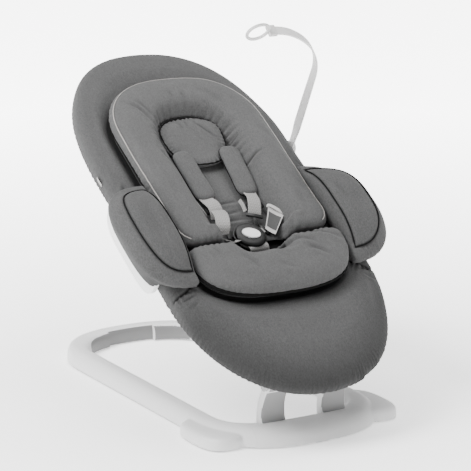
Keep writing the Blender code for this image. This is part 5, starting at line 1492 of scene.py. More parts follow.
@dataclass(frozen=True)
class Underframe:
    """The risers, the sprung cradle and the steel parts under the seat."""

    riser_x: float = 0.059
    foot_width: float = 0.05
    top_width: float = 0.042
    thickness: float = 0.019
    flare: float = 0.01
    socket_z: float = 0.018
    eye_radius: float = 0.0135
    axle_radius: float = 0.0061
    pivot_s: float = -0.16
    pivot_n: float = 0.218

    def build(self) -> None:
        """Build the risers and dress the cradle and the axles."""
        for side in Side:
            riser = self._riser(side)
            fit_out(riser, Finish.WHITE, Body.BASE, "riser_" + side.suffix)
            # Painted shade on the riser's front faces.
            self._inlay(riser)
            for number in (1, 2):
                node = f"riser_screw_{side.suffix}_{number}"
                fit_out(Bench.copy_node(node, 0.0004), Finish.STEEL, Body.BASE)
        fit_out(Bench.copy_node("cradle_frame", 0.0016), Finish.WHITE, Body.CRADLE)
        for name in ("bounce", "recline"):
            fit_out(Bench.copy_node(name + "_axle"), Finish.STEEL, Body.CRADLE)
            for side in Side:
                node = f"{name}_axle_cap_{side.suffix}"
                fit_out(Bench.copy_node(node, 0.0008), Finish.CAP, Body.CRADLE)
        for side in Side:
            fit_out(Bench.copy_node("bounce_spring_" + side.suffix), Finish.STEEL, Body.CRADLE)

    @staticmethod
    def _inlay(riser: Piece) -> None:
        """Paint shade on the riser's front faces with a darker copy of its white plastic.

        Args:
            riser: The riser.
        """
        riser.data.materials.append(Finish.INLAY.material)
        for face in riser.data.polygons:
            if face.normal.y < -0.72:
                face.material_index = 1

    def _line(self, steps: int) -> np.ndarray:
        """Return the riser's middle line, from its socket to its eye.

        Args:
            steps: The line's steps.

        Returns:
            The line's points.
        """
        top = SEAT.world(np.array((0.0, self.pivot_s, self.pivot_n)))
        share = np.linspace(0.0, 1.0, steps + 1)
        y = top[1] + 0.017 - 0.017 * share ** 1.8 + 0.006 * np.sin(math.pi * share)
        z = self.socket_z + (top[2] - self.socket_z) * share
        return np.column_stack([np.zeros(steps + 1), y, z])

    def _riser(self, side: Side) -> Piece:
        """Return one riser: a flared foot, a waisted arm and an eye round the axle.

        Args:
            side: The riser's side.

        Returns:
            The riser.
        """
        line = self._line(40)
        centre_x = side.value * self.riser_x
        angle = circle(40, 0.5)
        rings = []
        for index, place in enumerate(line):
            share = index / (len(line) - 1)
            run = run_at(line, index)
            back = np.array((0.0, run[2], -run[1]) if index else (0.0, 1.0, 0.0))
            half_x = 0.5 * (self.foot_width + (self.top_width - self.foot_width) * share)
            half_back = 0.5 * self.thickness
            front = half_back + self.flare * max(0.0, 1.0 - 3.2 * share) ** 2
            centre = place + np.array((centre_x, 0.0, 0.0))
            across = squared(np.cos(angle), 7.0) * half_x
            depth = squared(np.sin(angle), 5.0)
            depth = np.where(depth > 0.0, depth * half_back, depth * front)
            rings.append(centre + np.outer(across, (1.0, 0.0, 0.0)) + np.outer(depth, back))
        riser = Bench.sweep(f"riser_{side.suffix}_look", rings)
        for name, length, radius, operation in (
                ("riser_eye", self.top_width, self.eye_radius, "UNION"),
                ("riser_bore", 2.0 * self.foot_width, self.axle_radius, "DIFFERENCE")):
            Bench.combine(riser, self._rod(name, centre_x, length, line[-1], radius), operation)
        return Bench.shade(riser, 40.0)

    @staticmethod
    def _rod(name: str, centre_x: float, length: float, pivot: np.ndarray, radius: float) -> Piece:
        """Return a rod across the lounger.

        Args:
            name: The rod's name.
            centre_x: Its middle's X.
            length: Its length.
            pivot: A point of its axis.
            radius: Its radius.

        Returns:
            The rod.
        """
        Bench.clear()
        bpy.ops.mesh.primitive_cylinder_add(vertices=64, radius=radius, depth=length,
                location=(centre_x, pivot[1], pivot[2]), rotation=(0.0, 0.5 * math.pi, 0.0))
        rod = bpy.context.object
        rod.name = name
        bpy.ops.object.transform_apply(location=True, rotation=True, scale=True)
        return rod


@dataclass(frozen=True)
class SeatShell:
    """The pan, rim tube, brackets, latch and lever under the seat cover."""

    def build(self) -> None:
        """Dress the rigid parts that carry the seat."""
        fit_out(Bench.copy_node("seat_rim_tube"), Finish.STEEL, Body.SEAT)
        fit_out(Bench.copy_node("seat_pan"), Finish.DARK, Body.SEAT)
        for node in ("recline_bracket_left", "recline_bracket_right", "latch_housing",
                "lever_hinge_left", "lever_hinge_right"):
            fit_out(Bench.copy_node(node, 0.0006), Finish.DARK, Body.SEAT)
        fit_out(Bench.copy_node("latch_spring"), Finish.STEEL, Body.SEAT)
        fit_out(Bench.copy_node("lever_pin"), Finish.STEEL, Body.SEAT)
        fit_out(Bench.copy_node("latch_bolt"), Finish.STEEL, Body.LATCH)
        fit_out(Bench.copy_node("recline_lever", 0.0006), Finish.WHITE, Body.LEVER)


@dataclass(frozen=True)
class SeatCover:
    """The padded cover that wraps the rim tube."""

    edge_n: float = 0.274
    crown: float = 0.0175
    underside: float = 0.028
    wall: float = 0.0135
    dish_n: float = 0.276
    ceiling_n: float = 0.2668
    foot_roll: float = 0.01

    def build(self) -> None:
        """Build the cover."""
        bottom = self.edge_n - self.underside
        crown = self.edge_n + self.crown
        pan = 0.0301
        levels = [(pan + 0.125, self.ceiling_n, 0.0), (pan + 0.085, self.ceiling_n, 0.0),
                (pan + 0.05, self.ceiling_n, 0.0), (pan, self.ceiling_n, 0.0),
                (self.wall + 0.002, self.ceiling_n, 0.0),
                (self.wall, self.ceiling_n - 0.002, 0.0), (self.wall, bottom + 0.004, 0.0),
                (self.wall - 0.001, bottom + 0.001, 0.0), (0.0095, bottom, 0.0),
                (0.0035, bottom + 0.005, 0.0), (0.0006, bottom + 0.015, 0.2),
                (0.0, self.edge_n, 0.8), (0.0035, self.edge_n + 0.009, 1.0),
                (0.012, crown - 0.0025, 0.9), (0.026, crown, 0.55)]
        rings = []
        for inset, n, roll in levels:
            ring = COVER_PLAN.ring(inset)
            rings.append(foot_bend(lifted(ring, n - roll * self._roll(ring))))
        shoulder = COVER_PLAN.ring(0.026)
        dish = INSERT_PLAN.ring(-0.004)
        for share, lift, roll in ((0.35, 0.0025, 0.25), (0.7, 0.0015, 0.0),
                (1.0, -0.003, 0.0)):
            ring = shoulder + (dish - shoulder) * share
            puff = 0.006 * smooth_step((-ring[:, 1] - 0.02) / 0.06) * math.sin(math.pi * share)
            rings.append(foot_bend(lifted(ring, crown + lift + puff - roll * self._roll(ring))))
        for inset in (0.01, 0.05, 0.1):
            rings.append(foot_bend(lifted(INSERT_PLAN.ring(inset), self.dish_n)))
        cover = Bench.sweep("seat_cover_look", [SEAT.world(ring) for ring in rings])
        Bench.soften(cover, 0.0034, 5)
        Bench.refine(cover)
        self._relief(cover)
        fit_out(cover, Finish.COVER, Body.SEAT, "seat_cover", fill=0.6)
        self._tags()

    def _roll(self, ring: Outline) -> np.ndarray:
        """Return how far the foot end's edge rolls down."""
        return self.foot_roll * smooth_step((-ring[:, 1] + 0.02) / 0.12)

    def _relief(self, cover: Piece) -> None:
        """Add the hem's puckers, the tucks and the folds, and paint shade on the cover.

        Args:
            cover: The cover.
        """
        relief = Relief(cover)
        side_path = open_path(COVER_PLAN, 0.004, -0.3, 0.02)
        relief.lumps(0.0007, 0.16, 3)
        hem = self.edge_n - self.underside + 0.008
        rim = lifted(closed(COVER_PLAN.ring(0.001)), hem)
        relief.gathers(rim, 0.012, 0.0009, 0.011, 5, dark=0.35)
        relief.gathers(lifted(side_path, hem + 0.006), 0.013, 0.0008, 0.008, 6, dark=0.4)
        relief.gathers([(0.02, -0.222, hem), (0.075, -0.208, hem)], 0.026, 0.0016, 0.0085, 8,
                dark=0.5)
        for sign in (-1.0, 1.0):
            foot = [(sign * 0.152, 0.018), (sign * 0.176, 0.001), (sign * 0.196, -0.004)]
            relief.groove(foot, 0.003, 0.0035, 0.9)
            relief.gathers(foot, 0.014, 0.0016, 0.009, 9 + int(sign), side=-int(sign), dark=0.5)
            relief.fold([(sign * 0.16, -0.006), (sign * 0.192, -0.012)], 0.0014, 0.003, 0.6)
            relief.fold([(sign * 0.158, -0.016), (sign * 0.186, -0.034)], 0.0012, 0.0035, 0.4)
            head = [(sign * 0.16, 0.226), (sign * 0.18, 0.238), (sign * 0.198, 0.243)]
            relief.fold(head, 0.0018, 0.004, 0.5)
            relief.fold([(sign * 0.176, 0.262), (sign * 0.186, 0.236)], 0.0014, 0.003, 0.5)
        # Painted shade: a shadow on the dish under the insert's edge, shade on the foot end where
        # its faces turn down from the seat's top, and a dark band along the foot's edge.
        gap, _, inward, _ = relief.measure(closed(INSERT_PLAN.ring(0.004)))
        relief.shadow(smooth_step(gap * inward, -0.0045, 0.0005) * (relief.facing > 0.0))
        foot = smooth_step((0.04 - relief.seat[:, 1]) / 0.12)
        relief.shadow(0.42 * foot * smooth_step((0.86 - relief.facing) / 0.5))
        edge_gap = relief.measure(closed(COVER_PLAN.ring(0.0)))[0]
        relief.shadow(0.48 * foot * smooth_step(1.0 - edge_gap / 0.085))
        relief.apply()

    def _tags(self) -> None:
        """Sew in the small blank tags at the cover's edge and the insert's crease."""
        for number, (first, second, n, width) in enumerate((
                ((-0.199, 0.302), (-0.1985, 0.284), 0.27, 0.009),
                ((-0.1525, 0.128), (-0.152, 0.104), 0.3165, 0.0045))):
            points = [(first[0], first[1], n), (0.5 * (first[0] + second[0]) - 0.001,
                                              0.5 * (first[1] + second[1]), n + 0.001),
                    (second[0], second[1], n)]
            roll = 70.0 if number == 0 else 0.0
            tag = Bench.web(f"edge_tag_{number + 1}", points, width, 0.0008, [roll] * 3)
            fit_out(tag, Finish.TAG, Body.SEAT)


@dataclass(frozen=True)
class SideCheeks:
    """The two white shells beside the seat."""

    edge_radius: float = 0.0012

    def build(self) -> None:
        """Build both cheeks."""
        for side in Side:
            cheek = Bench.copy_node("side_cheek_" + side.suffix, self.edge_radius)
            fit_out(cheek, Finish.WHITE, Body.SEAT)


@dataclass(frozen=True)
class Bolsters:
    """The two stuffed side bolsters."""

    inner_x: float = 0.153
    centre_s: float = 0.1195
    breadth: float = 0.0745
    half_length: float = 0.0965
    bulge: float = 0.0205
    seam_n: float = 0.341
    crown: float = 0.006
    bottom_n: float = 0.262
    end_drop: float = 0.024
    drop_start: float = 0.304

    def build(self) -> None:
        """Build both bolsters."""
        for side in Side:
            self._bolster(side)

    def _outline(self, inner_x: float, breadth: float, half_length: float, power: float) -> Outline:
        """Return a D-shaped outline, straight on its inner side.

        Args:
            inner_x: Its inner side's X.
            breadth: Its breadth.
            half_length: Half its length.
            power: How square it is.

        Returns:
            X and S pairs.
        """
        angle = math.pi * np.arange(65) / 64 - 0.5 * math.pi
        along = squared(np.sin(angle), power)
        across = squared(np.maximum(np.cos(angle), 0.0), power)
        across[0] = across[-1] = 0.0
        bow = np.column_stack([inner_x + breadth * across, self.centre_s + half_length * along])
        back = 1.0 - 2.0 * np.arange(1, 24) / 24.0
        straight = np.column_stack([np.full(len(back), inner_x),
                self.centre_s + half_length * back])
        return np.concatenate([bow, straight])

    def rings(self, side: Side) -> list[np.ndarray]:
        """Return a bolster's sections from its base to its crown, in the world.

        Args:
            side: The bolster's side.

        Returns:
            The sections.
        """
        wide = self.breadth + self.bulge
        long = self.half_length
        seam = self.seam_n
        bottom = self.bottom_n
        levels = [(0.004, wide - 0.037, long + 0.004, 3.0, bottom),
                (0.002, wide - 0.029, long + 0.01, 3.0, bottom + 0.006),
                (0.0, wide - 0.0155, long + 0.016, 2.9, bottom + 0.022),
                (0.0, wide - 0.005, long + 0.0205, 2.8, bottom + 0.038),
                (0.0, wide, long + 0.021, 2.8, seam - 0.027),
                (0.0, wide - 0.004, long + 0.015, 2.7, seam - 0.015),
                (0.004, self.breadth + 0.004, long + 0.005, 2.6, seam - 0.004),
                (0.008, self.breadth - 0.008, long, 2.6, seam),
                (0.018, self.breadth - 0.026, long - 0.014, 2.5, seam + 0.7 * self.crown),
                (0.03, self.breadth - 0.046, long - 0.036, 2.3, seam + self.crown)]
        rings = []
        for shift, breadth, half_length, power, n in levels:
            ring = self._outline(self.inner_x + shift, breadth, half_length, power)
            weight = max(0.0, (n - self.drop_start) / (seam - self.drop_start))
            rings.append(self._dropped(ring, n, weight, side))
        return [SEAT.world(ring) for ring in flowing(rings, 0.004)]

    def _dropped(self, ring: Outline, n: float, weight: float, side: Side) -> np.ndarray:
        """Return one side's outline at a level, with its two ends let down.

        Args:
            ring: The right bolster's outline.
            n: Its level.
            weight: How much of the ends' drop it takes.
            side: The bolster's side.

        Returns:
            X, S and N points.
        """
        share = np.minimum(np.abs(ring[:, 1] - self.centre_s) / self.half_length, 1.0)
        points = lifted(ring, n - self.end_drop * weight * share ** 3)
        points[:, 0] *= side.value
        return points

    def _bolster(self, side: Side) -> None:
        """Build one bolster.

        Args:
            side: The bolster's side.
        """
        bolster = Bench.sweep(f"bolster_{side.suffix}_look", self.rings(side))
        guide_ring = COVER_PLAN.ring(-0.0149)
        guide = Bench.sweep("cover_edge_guide",
                [SEAT.world(lifted(guide_ring, n)) for n in (0.174, 0.2943)])
        Bench.combine(bolster, guide, "DIFFERENCE")
        Bench.soften(bolster, 0.003, 4)
        Bench.puff(bolster, 0.002)
        Bench.refine(bolster)
        seam = laid_on(bolster, self._seam(side), -0.0002)
        sign = side.value
        relief = Relief(bolster).lumps(0.0008, 0.1, 21 + sign)
        relief.groove(SEAT.seat(seam), 0.0016, 0.0028, 0.75)
        low = relief.seat[:, 2] < self.bottom_n + 0.045
        relief.gathers([(sign * 0.165, 0.018, 0.3), (sign * 0.215, 0.028, 0.3)], 0.022,
                0.0014, 0.01, 31 + sign, dark=0.4)
        # Painted shade on the bolster's lower sides.
        relief.shadow(0.4 * smooth_step((0.312 - relief.seat[:, 2]) / 0.03) * low)
        relief.fold([(sign * 0.17, 0.16), (sign * 0.176, 0.105)], 0.001, 0.006, 0.15)
        relief.apply()
        fit_out(bolster, Finish.COVER, Body.SEAT, "bolster_" + side.suffix, fill=0.8)
        piping = Bench.tube(f"bolster_piping_{side.suffix}", seam, 0.0011, looped=True)
        fit_out(piping, Finish.TRIM, Body.SEAT)

    def _seam(self, side: Side) -> np.ndarray:
        """Return the seam round a bolster's crowned top, in the world.

        Args:
            side: The bolster's side.

        Returns:
            The seam's points.
        """
        ring = self._outline(self.inner_x + 0.0065, self.breadth - 0.0045,
                self.half_length + 0.001, 2.6)
        return SEAT.world(self._dropped(ring, self.seam_n - 0.0014, 1.0, side))


@dataclass(frozen=True)
class NewbornInsert:
    """The two-part cushion in the seat, with its body hollow and its head pad."""

    dish_n: float = 0.2763
    edge_n: float = 0.312
    crown: float = 0.0165
    floor_n: float = 0.283
    split_s: float = 0.079

    def build(self) -> None:
        """Build the insert's three cushions."""
        self._upper()
        self._lower()
        self._head_pad()

    def _edge_levels(self) -> list[tuple[float, float]]:
        """Return the side of the insert as pairs of an inset and a level.

        Returns:
            The pairs, from the base up.
        """
        base, edge, crown = self.dish_n, self.edge_n, self.edge_n + self.crown
        return [(0.032, base), (0.016, base + 0.004), (0.005, edge - 0.015), (0.0, edge - 0.004),
                (0.0012, edge + 0.004), (0.007, edge + 0.011), (0.017, crown - 0.002),
                (0.03, crown)]

    def _waist(self, ring: Outline) -> np.ndarray:
        """Return 1 where the upper part keeps its height, 0 in the waist's middle.

        Args:
            ring: An outline of the upper part.

        Returns:
            A number for each of its points.
        """
        near_split = 1.0 - smooth_step((ring[:, 1] - self.split_s - 0.05) / 0.04)
        near_middle = 1.0 - smooth_step((np.abs(ring[:, 0]) - 0.052) / 0.024)
        return 1.0 - near_split * near_middle

    def _upper(self) -> None:
        """Build the upper part: a padded rim round a deep hollow."""
        crown = self.edge_n + self.crown
        rings = []
        for inset, n in self._edge_levels():
            ring = UPPER_PLAN.ring(inset)
            low = min(n, self.floor_n)
            rings.append(lifted(ring, low + (n - low) * self._waist(ring)))
        rim = UPPER_PLAN.ring(0.03)
        hollow = HOLLOW_PLAN.ring(0.0)
        steps = [(rim + (hollow - rim) * 0.45, crown - 0.001, crown - 0.0005),
                (rim + (hollow - rim) * 0.8, crown - 0.008, crown - 0.004)]
        steps += [(HOLLOW_PLAN.ring(inset), side, head) for inset, side, head in
                ((0.0, crown - 0.02, crown - 0.011), (0.007, crown - 0.032, crown - 0.024),
                 (0.016, self.floor_n + 0.002, self.floor_n + 0.004),
                 (0.03, self.floor_n, self.floor_n))]
        for ring, side, head in steps:
            n = side + (head - side) * smooth_step(ring[:, 1], 0.335, 0.37)
            rings.append(lifted(ring, self.floor_n + (n - self.floor_n) * self._waist(ring)))
        upper = Bench.cushion("insert_upper_look", rings, 0.004, 0.003, 4, 0.002)
        self._upper_relief(upper)
        fit_out(upper, Finish.INSERT, Body.SEAT, "insert_upper", fill=0.7)
        ring = open_path(UPPER_PLAN, 0.0058, 0.092, 0.6)
        points = laid_on(upper, SEAT.world(lifted(ring, self.edge_n + 0.0104)), -0.0001)
        piping = Bench.tube("insert_piping_upper", points, 0.001)
        fit_out(piping, Finish.PIPING, Body.SEAT)
        # A black binding cord that also paints the shadow under the upper part's edge.
        self._binding("insert_binding_upper", open_path(UPPER_PLAN, 0.0022, 0.092, 0.6),
                self.edge_n - 0.0075, 0.0018)

    @staticmethod
    def _binding(name: str, ring: np.ndarray, n: float, radius: float) -> None:
        """Lay a dark cord round the insert's edge: a binding that also stands in for the shadow gap
        under the edge, as painted shadow.
        """
        points = SEAT.world(foot_bend(lifted(ring, n)))
        fit_out(Bench.tube(name, points, radius), Finish.TRIM, Body.SEAT)

    def _upper_relief(self, upper: Piece) -> None:
        """Add the seams, gathers and folds of the upper part.

        Args:
            upper: The upper part.
        """
        relief = Relief(upper).lumps(0.0011, 0.12, 41)
        seat = relief.seat
        edge = open_path(UPPER_PLAN, 0.0005, 0.092, 0.6)
        seam = open_path(UPPER_PLAN, 0.0058, 0.092, 0.6)
        relief.groove(lifted(seam, self.edge_n + 0.01), 0.001, 0.0022, 0.8)
        relief.gathers(lifted(edge, self.edge_n), 0.01, 0.0006, 0.013, 43, dark=0.15)
        seam = open_path(HOLLOW_PLAN, 0.009, 0.268, 0.6)
        relief.gathers(seam, 0.015, 0.0013, 0.0135, 44, dark=0.4)
        for path, height, width, dark in (
                ([(-0.108, 0.421), (-0.094, 0.402), (-0.078, 0.369)], 0.0024, 0.0055, 0.3),
                ([(-0.092, 0.425), (-0.08, 0.404), (-0.07, 0.383)], 0.002, 0.005, 0.3),
                ([(-0.097, 0.3), (-0.091, 0.282), (-0.082, 0.262)], 0.002, 0.0045, 0.35),
                ([(-0.085, 0.338), (-0.089, 0.312)], 0.0012, 0.005, 0.2),
                ([(0.056, 0.312), (0.066, 0.317), (0.08, 0.321)], 0.0016, 0.0035, 0.55),
                ([(0.0535, 0.251), (0.087, 0.266), (0.098, 0.268)], 0.0018, 0.0035, 0.6),
                ([(0.108, 0.33), (0.122, 0.3), (0.128, 0.262)], 0.0013, 0.008, 0.15),
                ([(0.03, 0.44), (0.058, 0.415), (0.078, 0.384)], 0.0012, 0.008, 0.15),
                ([(-0.02, 0.44), (-0.012, 0.418)], 0.0013, 0.005, 0.2),
                ([(0.006, 0.436), (0.008, 0.414)], 0.0012, 0.005, 0.2),
                ([(-0.118, 0.232), (-0.124, 0.18)], 0.001, 0.009, 0.1),
                ([(0.112, 0.205), (0.121, 0.15)], 0.001, 0.009, 0.12),
                ([(0.104, 0.165), (0.1, 0.125)], 0.001, 0.006, 0.15)):
            relief.fold(path, height, width, dark)
        for s, bow in ((0.187, 0.002), (0.166, -0.001), (0.146, 0.002)):
            relief.fold([(-0.034, s), (-0.006, s + bow), (0.022, s + 0.002)], 0.0016, 0.004, 0.5)
        split = [(-0.145, 0.0865), (-0.105, 0.0845), (-0.06, 0.0845)]
        relief.gathers(split, 0.01, 0.0008, 0.014, 45, dark=0.2)
        relief.gathers([(-x, s) for x, s in split], 0.01, 0.0008, 0.014, 46, dark=0.2)
        # Painted shade on the rim's sides below its edge and deep in the hollow's side walls.
        relief.shadow(smooth_step((self.edge_n - 0.0085 - seat[:, 2]) / 0.003)
                * (np.abs(seat[:, 0]) > 0.09))
        deep = smooth_step((0.2895 - seat[:, 2]) / 0.004)
        wall = (np.abs(np.abs(seat[:, 0]) - 0.066) < 0.01) & (seat[:, 1] < 0.37)
        relief.shadow(0.8 * deep * wall)
        relief.apply()

    def _lower(self) -> None:
        """Build the half-round lower part."""
        levels = self._edge_levels() + [(0.042, self.edge_n + self.crown - 0.001)]
        rings = []
        for inset, n in levels:
            ring = LOWER_PLAN.ring(inset, side=2)
            near_split = smooth_step((ring[:, 1] - 0.03) / 0.04)
            near_middle = 1.0 - smooth_step((np.abs(ring[:, 0]) - 0.034) / 0.03)
            low = min(n, self.floor_n)
            keep = 1.0 - near_split * near_middle
            rings.append(foot_bend(lifted(ring, low + (n - low) * keep)))
        lower = Bench.cushion("insert_lower_look", rings, 0.004, 0.003, 4, 0.002)
        relief = Relief(lower).lumps(0.0012, 0.09, 51)
        seat = relief.seat
        for path, height, width, dark in (
                ([(0.03, 0.058), (0.059, 0.051), (0.09, 0.034)], 0.0028, 0.006, 0.25),
                ([(0.07, 0.066), (0.105, 0.062), (0.14, 0.034)], 0.0026, 0.006, 0.25),
                ([(0.06, 0.03), (0.082, 0.018), (0.098, 0.002)], 0.0024, 0.0055, 0.2),
                ([(0.0, 0.052), (0.015, 0.042), (0.02, 0.02)], 0.0014, 0.006, 0.12),
                ([(-0.072, 0.03), (-0.058, 0.014), (-0.05, -0.006)], 0.0021, 0.0065, 0.16),
                ([(-0.01, 0.004), (0.007, -0.0115), (0.03, -0.02)], 0.0014, 0.006, 0.12),
                ([(-0.11, 0.06), (-0.104, 0.04)], 0.0014, 0.005, 0.2)):
            relief.fold(path, height, width, dark)
        split = [(-0.14, 0.0735), (-0.1, 0.0745), (-0.055, 0.0745)]
        relief.gathers(split, 0.009, 0.0009, 0.012, 52, dark=0.3)
        relief.gathers([(-x, s) for x, s in split], 0.01, 0.0012, 0.012, 53, dark=0.35)
        edge = open_path(LOWER_PLAN, 0.0005, -0.1, 0.066)
        relief.groove(lifted(edge, self.edge_n + 0.0035), 0.0008, 0.0018, 0.35)
        relief.gathers(lifted(edge, self.edge_n), 0.008, 0.0006, 0.013, 54, dark=0.15)
        # Painted shade on the lower part's side below its edge, except near the split.
        relief.shadow(smooth_step((self.edge_n - 0.009 - seat[:, 2]) / 0.003)
                * smooth_step((0.075 - seat[:, 1]) / 0.01))
        relief.apply()
        fit_out(lower, Finish.INSERT, Body.SEAT, "insert_lower", fill=0.7)
        # A black binding cord that also paints the shadow under the lower part's edge.
        self._binding("insert_binding_lower", open_path(LOWER_PLAN, 0.0016, -0.1, 0.064),
                self.edge_n - 0.009, 0.003)

    @staticmethod
    def _pad_tilt(ring: Outline) -> np.ndarray:
        """Return how far the head pad rises towards its upper end."""
        return 0.007 * smooth_step((ring[:, 1] - 0.29) / 0.095)

    def _head_pad(self) -> None:
        """Build the small pad in the hollow's head end."""
        base = self.floor_n + 0.0008
        rings = []
        for inset, share in ((0.016, 0.0), (0.01, 0.08), (0.003, 0.45), (0.0, 0.68),
                (0.004, 0.86), (0.013, 1.0), (0.03, 0.96)):
            plan = Plan(0.063 - inset, 0.278 + 0.6 * inset, 0.348, 0.35, 0.394 - inset, 2.4, 2.3)
            ring = plan.ring(0.0, 24, 2)
            rings.append(lifted(ring, base + 0.0155 * share + self._pad_tilt(ring)))
        pad = Bench.cushion("head_pad_look", rings, 0.003, 0.002, 3, 0.001)
        plan = Plan(0.0595, 0.28, 0.348, 0.35, 0.3905, 2.4, 2.3)
        relief = Relief(pad).lumps(0.0006, 0.06, 61)
        top = open_path(plan, 0.0, 0.3, 0.5)
        foot = [(-0.05, 0.287), (-0.025, 0.2825), (0.0, 0.2815), (0.025, 0.2825), (0.05, 0.287)]
        relief.gathers(top, 0.01, 0.0009, 0.01, 62, dark=0.35)
        relief.gathers(foot, 0.01, 0.0012, 0.0095, 63, dark=0.55)
        relief.fold([(0.01, 0.378), (0.026, 0.356), (0.044, 0.33)], 0.0016, 0.004, 0.45)
        relief.fold([(-0.018, 0.382), (-0.014, 0.362)], 0.0012, 0.0035, 0.3)
        relief.fold([(-0.004, 0.384), (-0.002, 0.366)], 0.001, 0.0035, 0.3)
        relief.fold([(0.002, 0.352), (0.012, 0.33)], 0.0008, 0.004, 0.15)
        relief.apply()
        fit_out(pad, Finish.INSERT, Body.SEAT, "head_pad", fill=0.6)
        ring = plan.ring(0.0, 24, 6)
        rng = np.random.default_rng(64)
        wave = 0.0007 * np.sin(np.arange(len(ring)) * 1.9 + rng.uniform(0.0, 6.28))
        points = lifted(ring, self.floor_n + 0.0135 + wave + self._pad_tilt(ring))
        seam = Bench.tube("head_pad_seam", SEAT.world(points), 0.0014, looped=True)
        fit_out(seam, Finish.TRIM, Body.SEAT)


@dataclass(frozen=True)
class Strap:
    """One woven or moulded band of the harness, by its place along the seat."""

    name: str
    points: tuple[tuple[float, float, float], ...]
    width: float
    thickness: float
    turns: tuple[float, ...] | None = None
    finish: Finish = Finish.WEB
    nodes: tuple[str, ...] = ()

    def build(self) -> None:
        """Lay the band."""
        piece = Bench.web(self.name, self.points, self.width, self.thickness, self.turns)
        fit_out(piece, self.finish, Body.SEAT, *self.nodes)


STRAPS = (
    Strap("shoulder_web_left", (
        (-0.045, 0.262, 0.3025), (-0.0452, 0.235, 0.3005), (-0.0458, 0.21, 0.2985),
        (-0.045, 0.192, 0.3), (-0.0435, 0.178, 0.3045), (-0.0425, 0.166, 0.304),
        (-0.043, 0.154, 0.299), (-0.044, 0.148, 0.295)), 0.0245, 0.0018,
        (0, 0, 0, -4, -8, -6, 0, 0), nodes=("shoulder_strap_left",)),
    Strap("shoulder_web_loop_left", (
        (-0.04, 0.163, 0.301), (-0.042, 0.155, 0.3065), (-0.045, 0.142, 0.3115),
        (-0.049, 0.129, 0.3125), (-0.0515, 0.12, 0.3095), (-0.0525, 0.1145, 0.304),
        (-0.0525, 0.1115, 0.296)), 0.025, 0.003, (-6, -6, -8, -10, -8, -4, 0)),
    Strap("shoulder_web_fold_left", (
        (-0.064, 0.196, 0.296), (-0.062, 0.178, 0.2965), (-0.06, 0.16, 0.296)),
        0.0075, 0.0016, (62, 62, 62)),
    Strap("hip_web_left", (
        (-0.074, 0.108, 0.294), (-0.064, 0.101, 0.2985), (-0.054, 0.093, 0.2995),
        (-0.044, 0.089, 0.2965), (-0.034, 0.093, 0.293), (-0.026, 0.099, 0.2905)),
        0.012, 0.0018, (35, 42, 55, 60, 55, 30), nodes=("hip_strap_left",)),
    Strap("shoulder_web_right", (
        (0.045, 0.262, 0.3025), (0.045, 0.235, 0.3005), (0.044, 0.21, 0.2985),
        (0.0412, 0.192, 0.3005), (0.0375, 0.178, 0.306), (0.0335, 0.165, 0.3065),
        (0.0295, 0.152, 0.301), (0.027, 0.144, 0.294)), 0.0245, 0.0018,
        (0, 0, 2, 4, 6, 6, 4, 0), nodes=("shoulder_strap_right",)),
    Strap("shoulder_web_fold_right", (
        (0.018, 0.186, 0.295), (0.0175, 0.173, 0.2965), (0.016, 0.158, 0.2955)),
        0.007, 0.0016, (-58, -58, -58)),
    Strap("adjuster_bar_right", (
        (0.013, 0.15, 0.2965), (0.024, 0.144, 0.298), (0.04, 0.138, 0.2965)),
        0.007, 0.004, finish=Finish.DARK),
    Strap("adjuster_link_right", (
        (0.0255, 0.143, 0.296), (0.0225, 0.133, 0.2965), (0.019, 0.122, 0.2935)),
        0.007, 0.003, finish=Finish.DARK),
    Strap("hip_web_right", (
        (0.022, 0.113, 0.2885), (0.034, 0.116, 0.289), (0.048, 0.118, 0.2875),
        (0.058, 0.119, 0.285)), 0.012, 0.0018, nodes=("hip_strap_right",)),
    Strap("crotch_web", (
        (0.005, 0.07, 0.28), (0.005, 0.0735, 0.288), (0.0045, 0.079, 0.2915),
        (0.0035, 0.086, 0.2895), (0.002, 0.093, 0.288)), 0.038, 0.0018,
        nodes=("crotch_strap",)),)


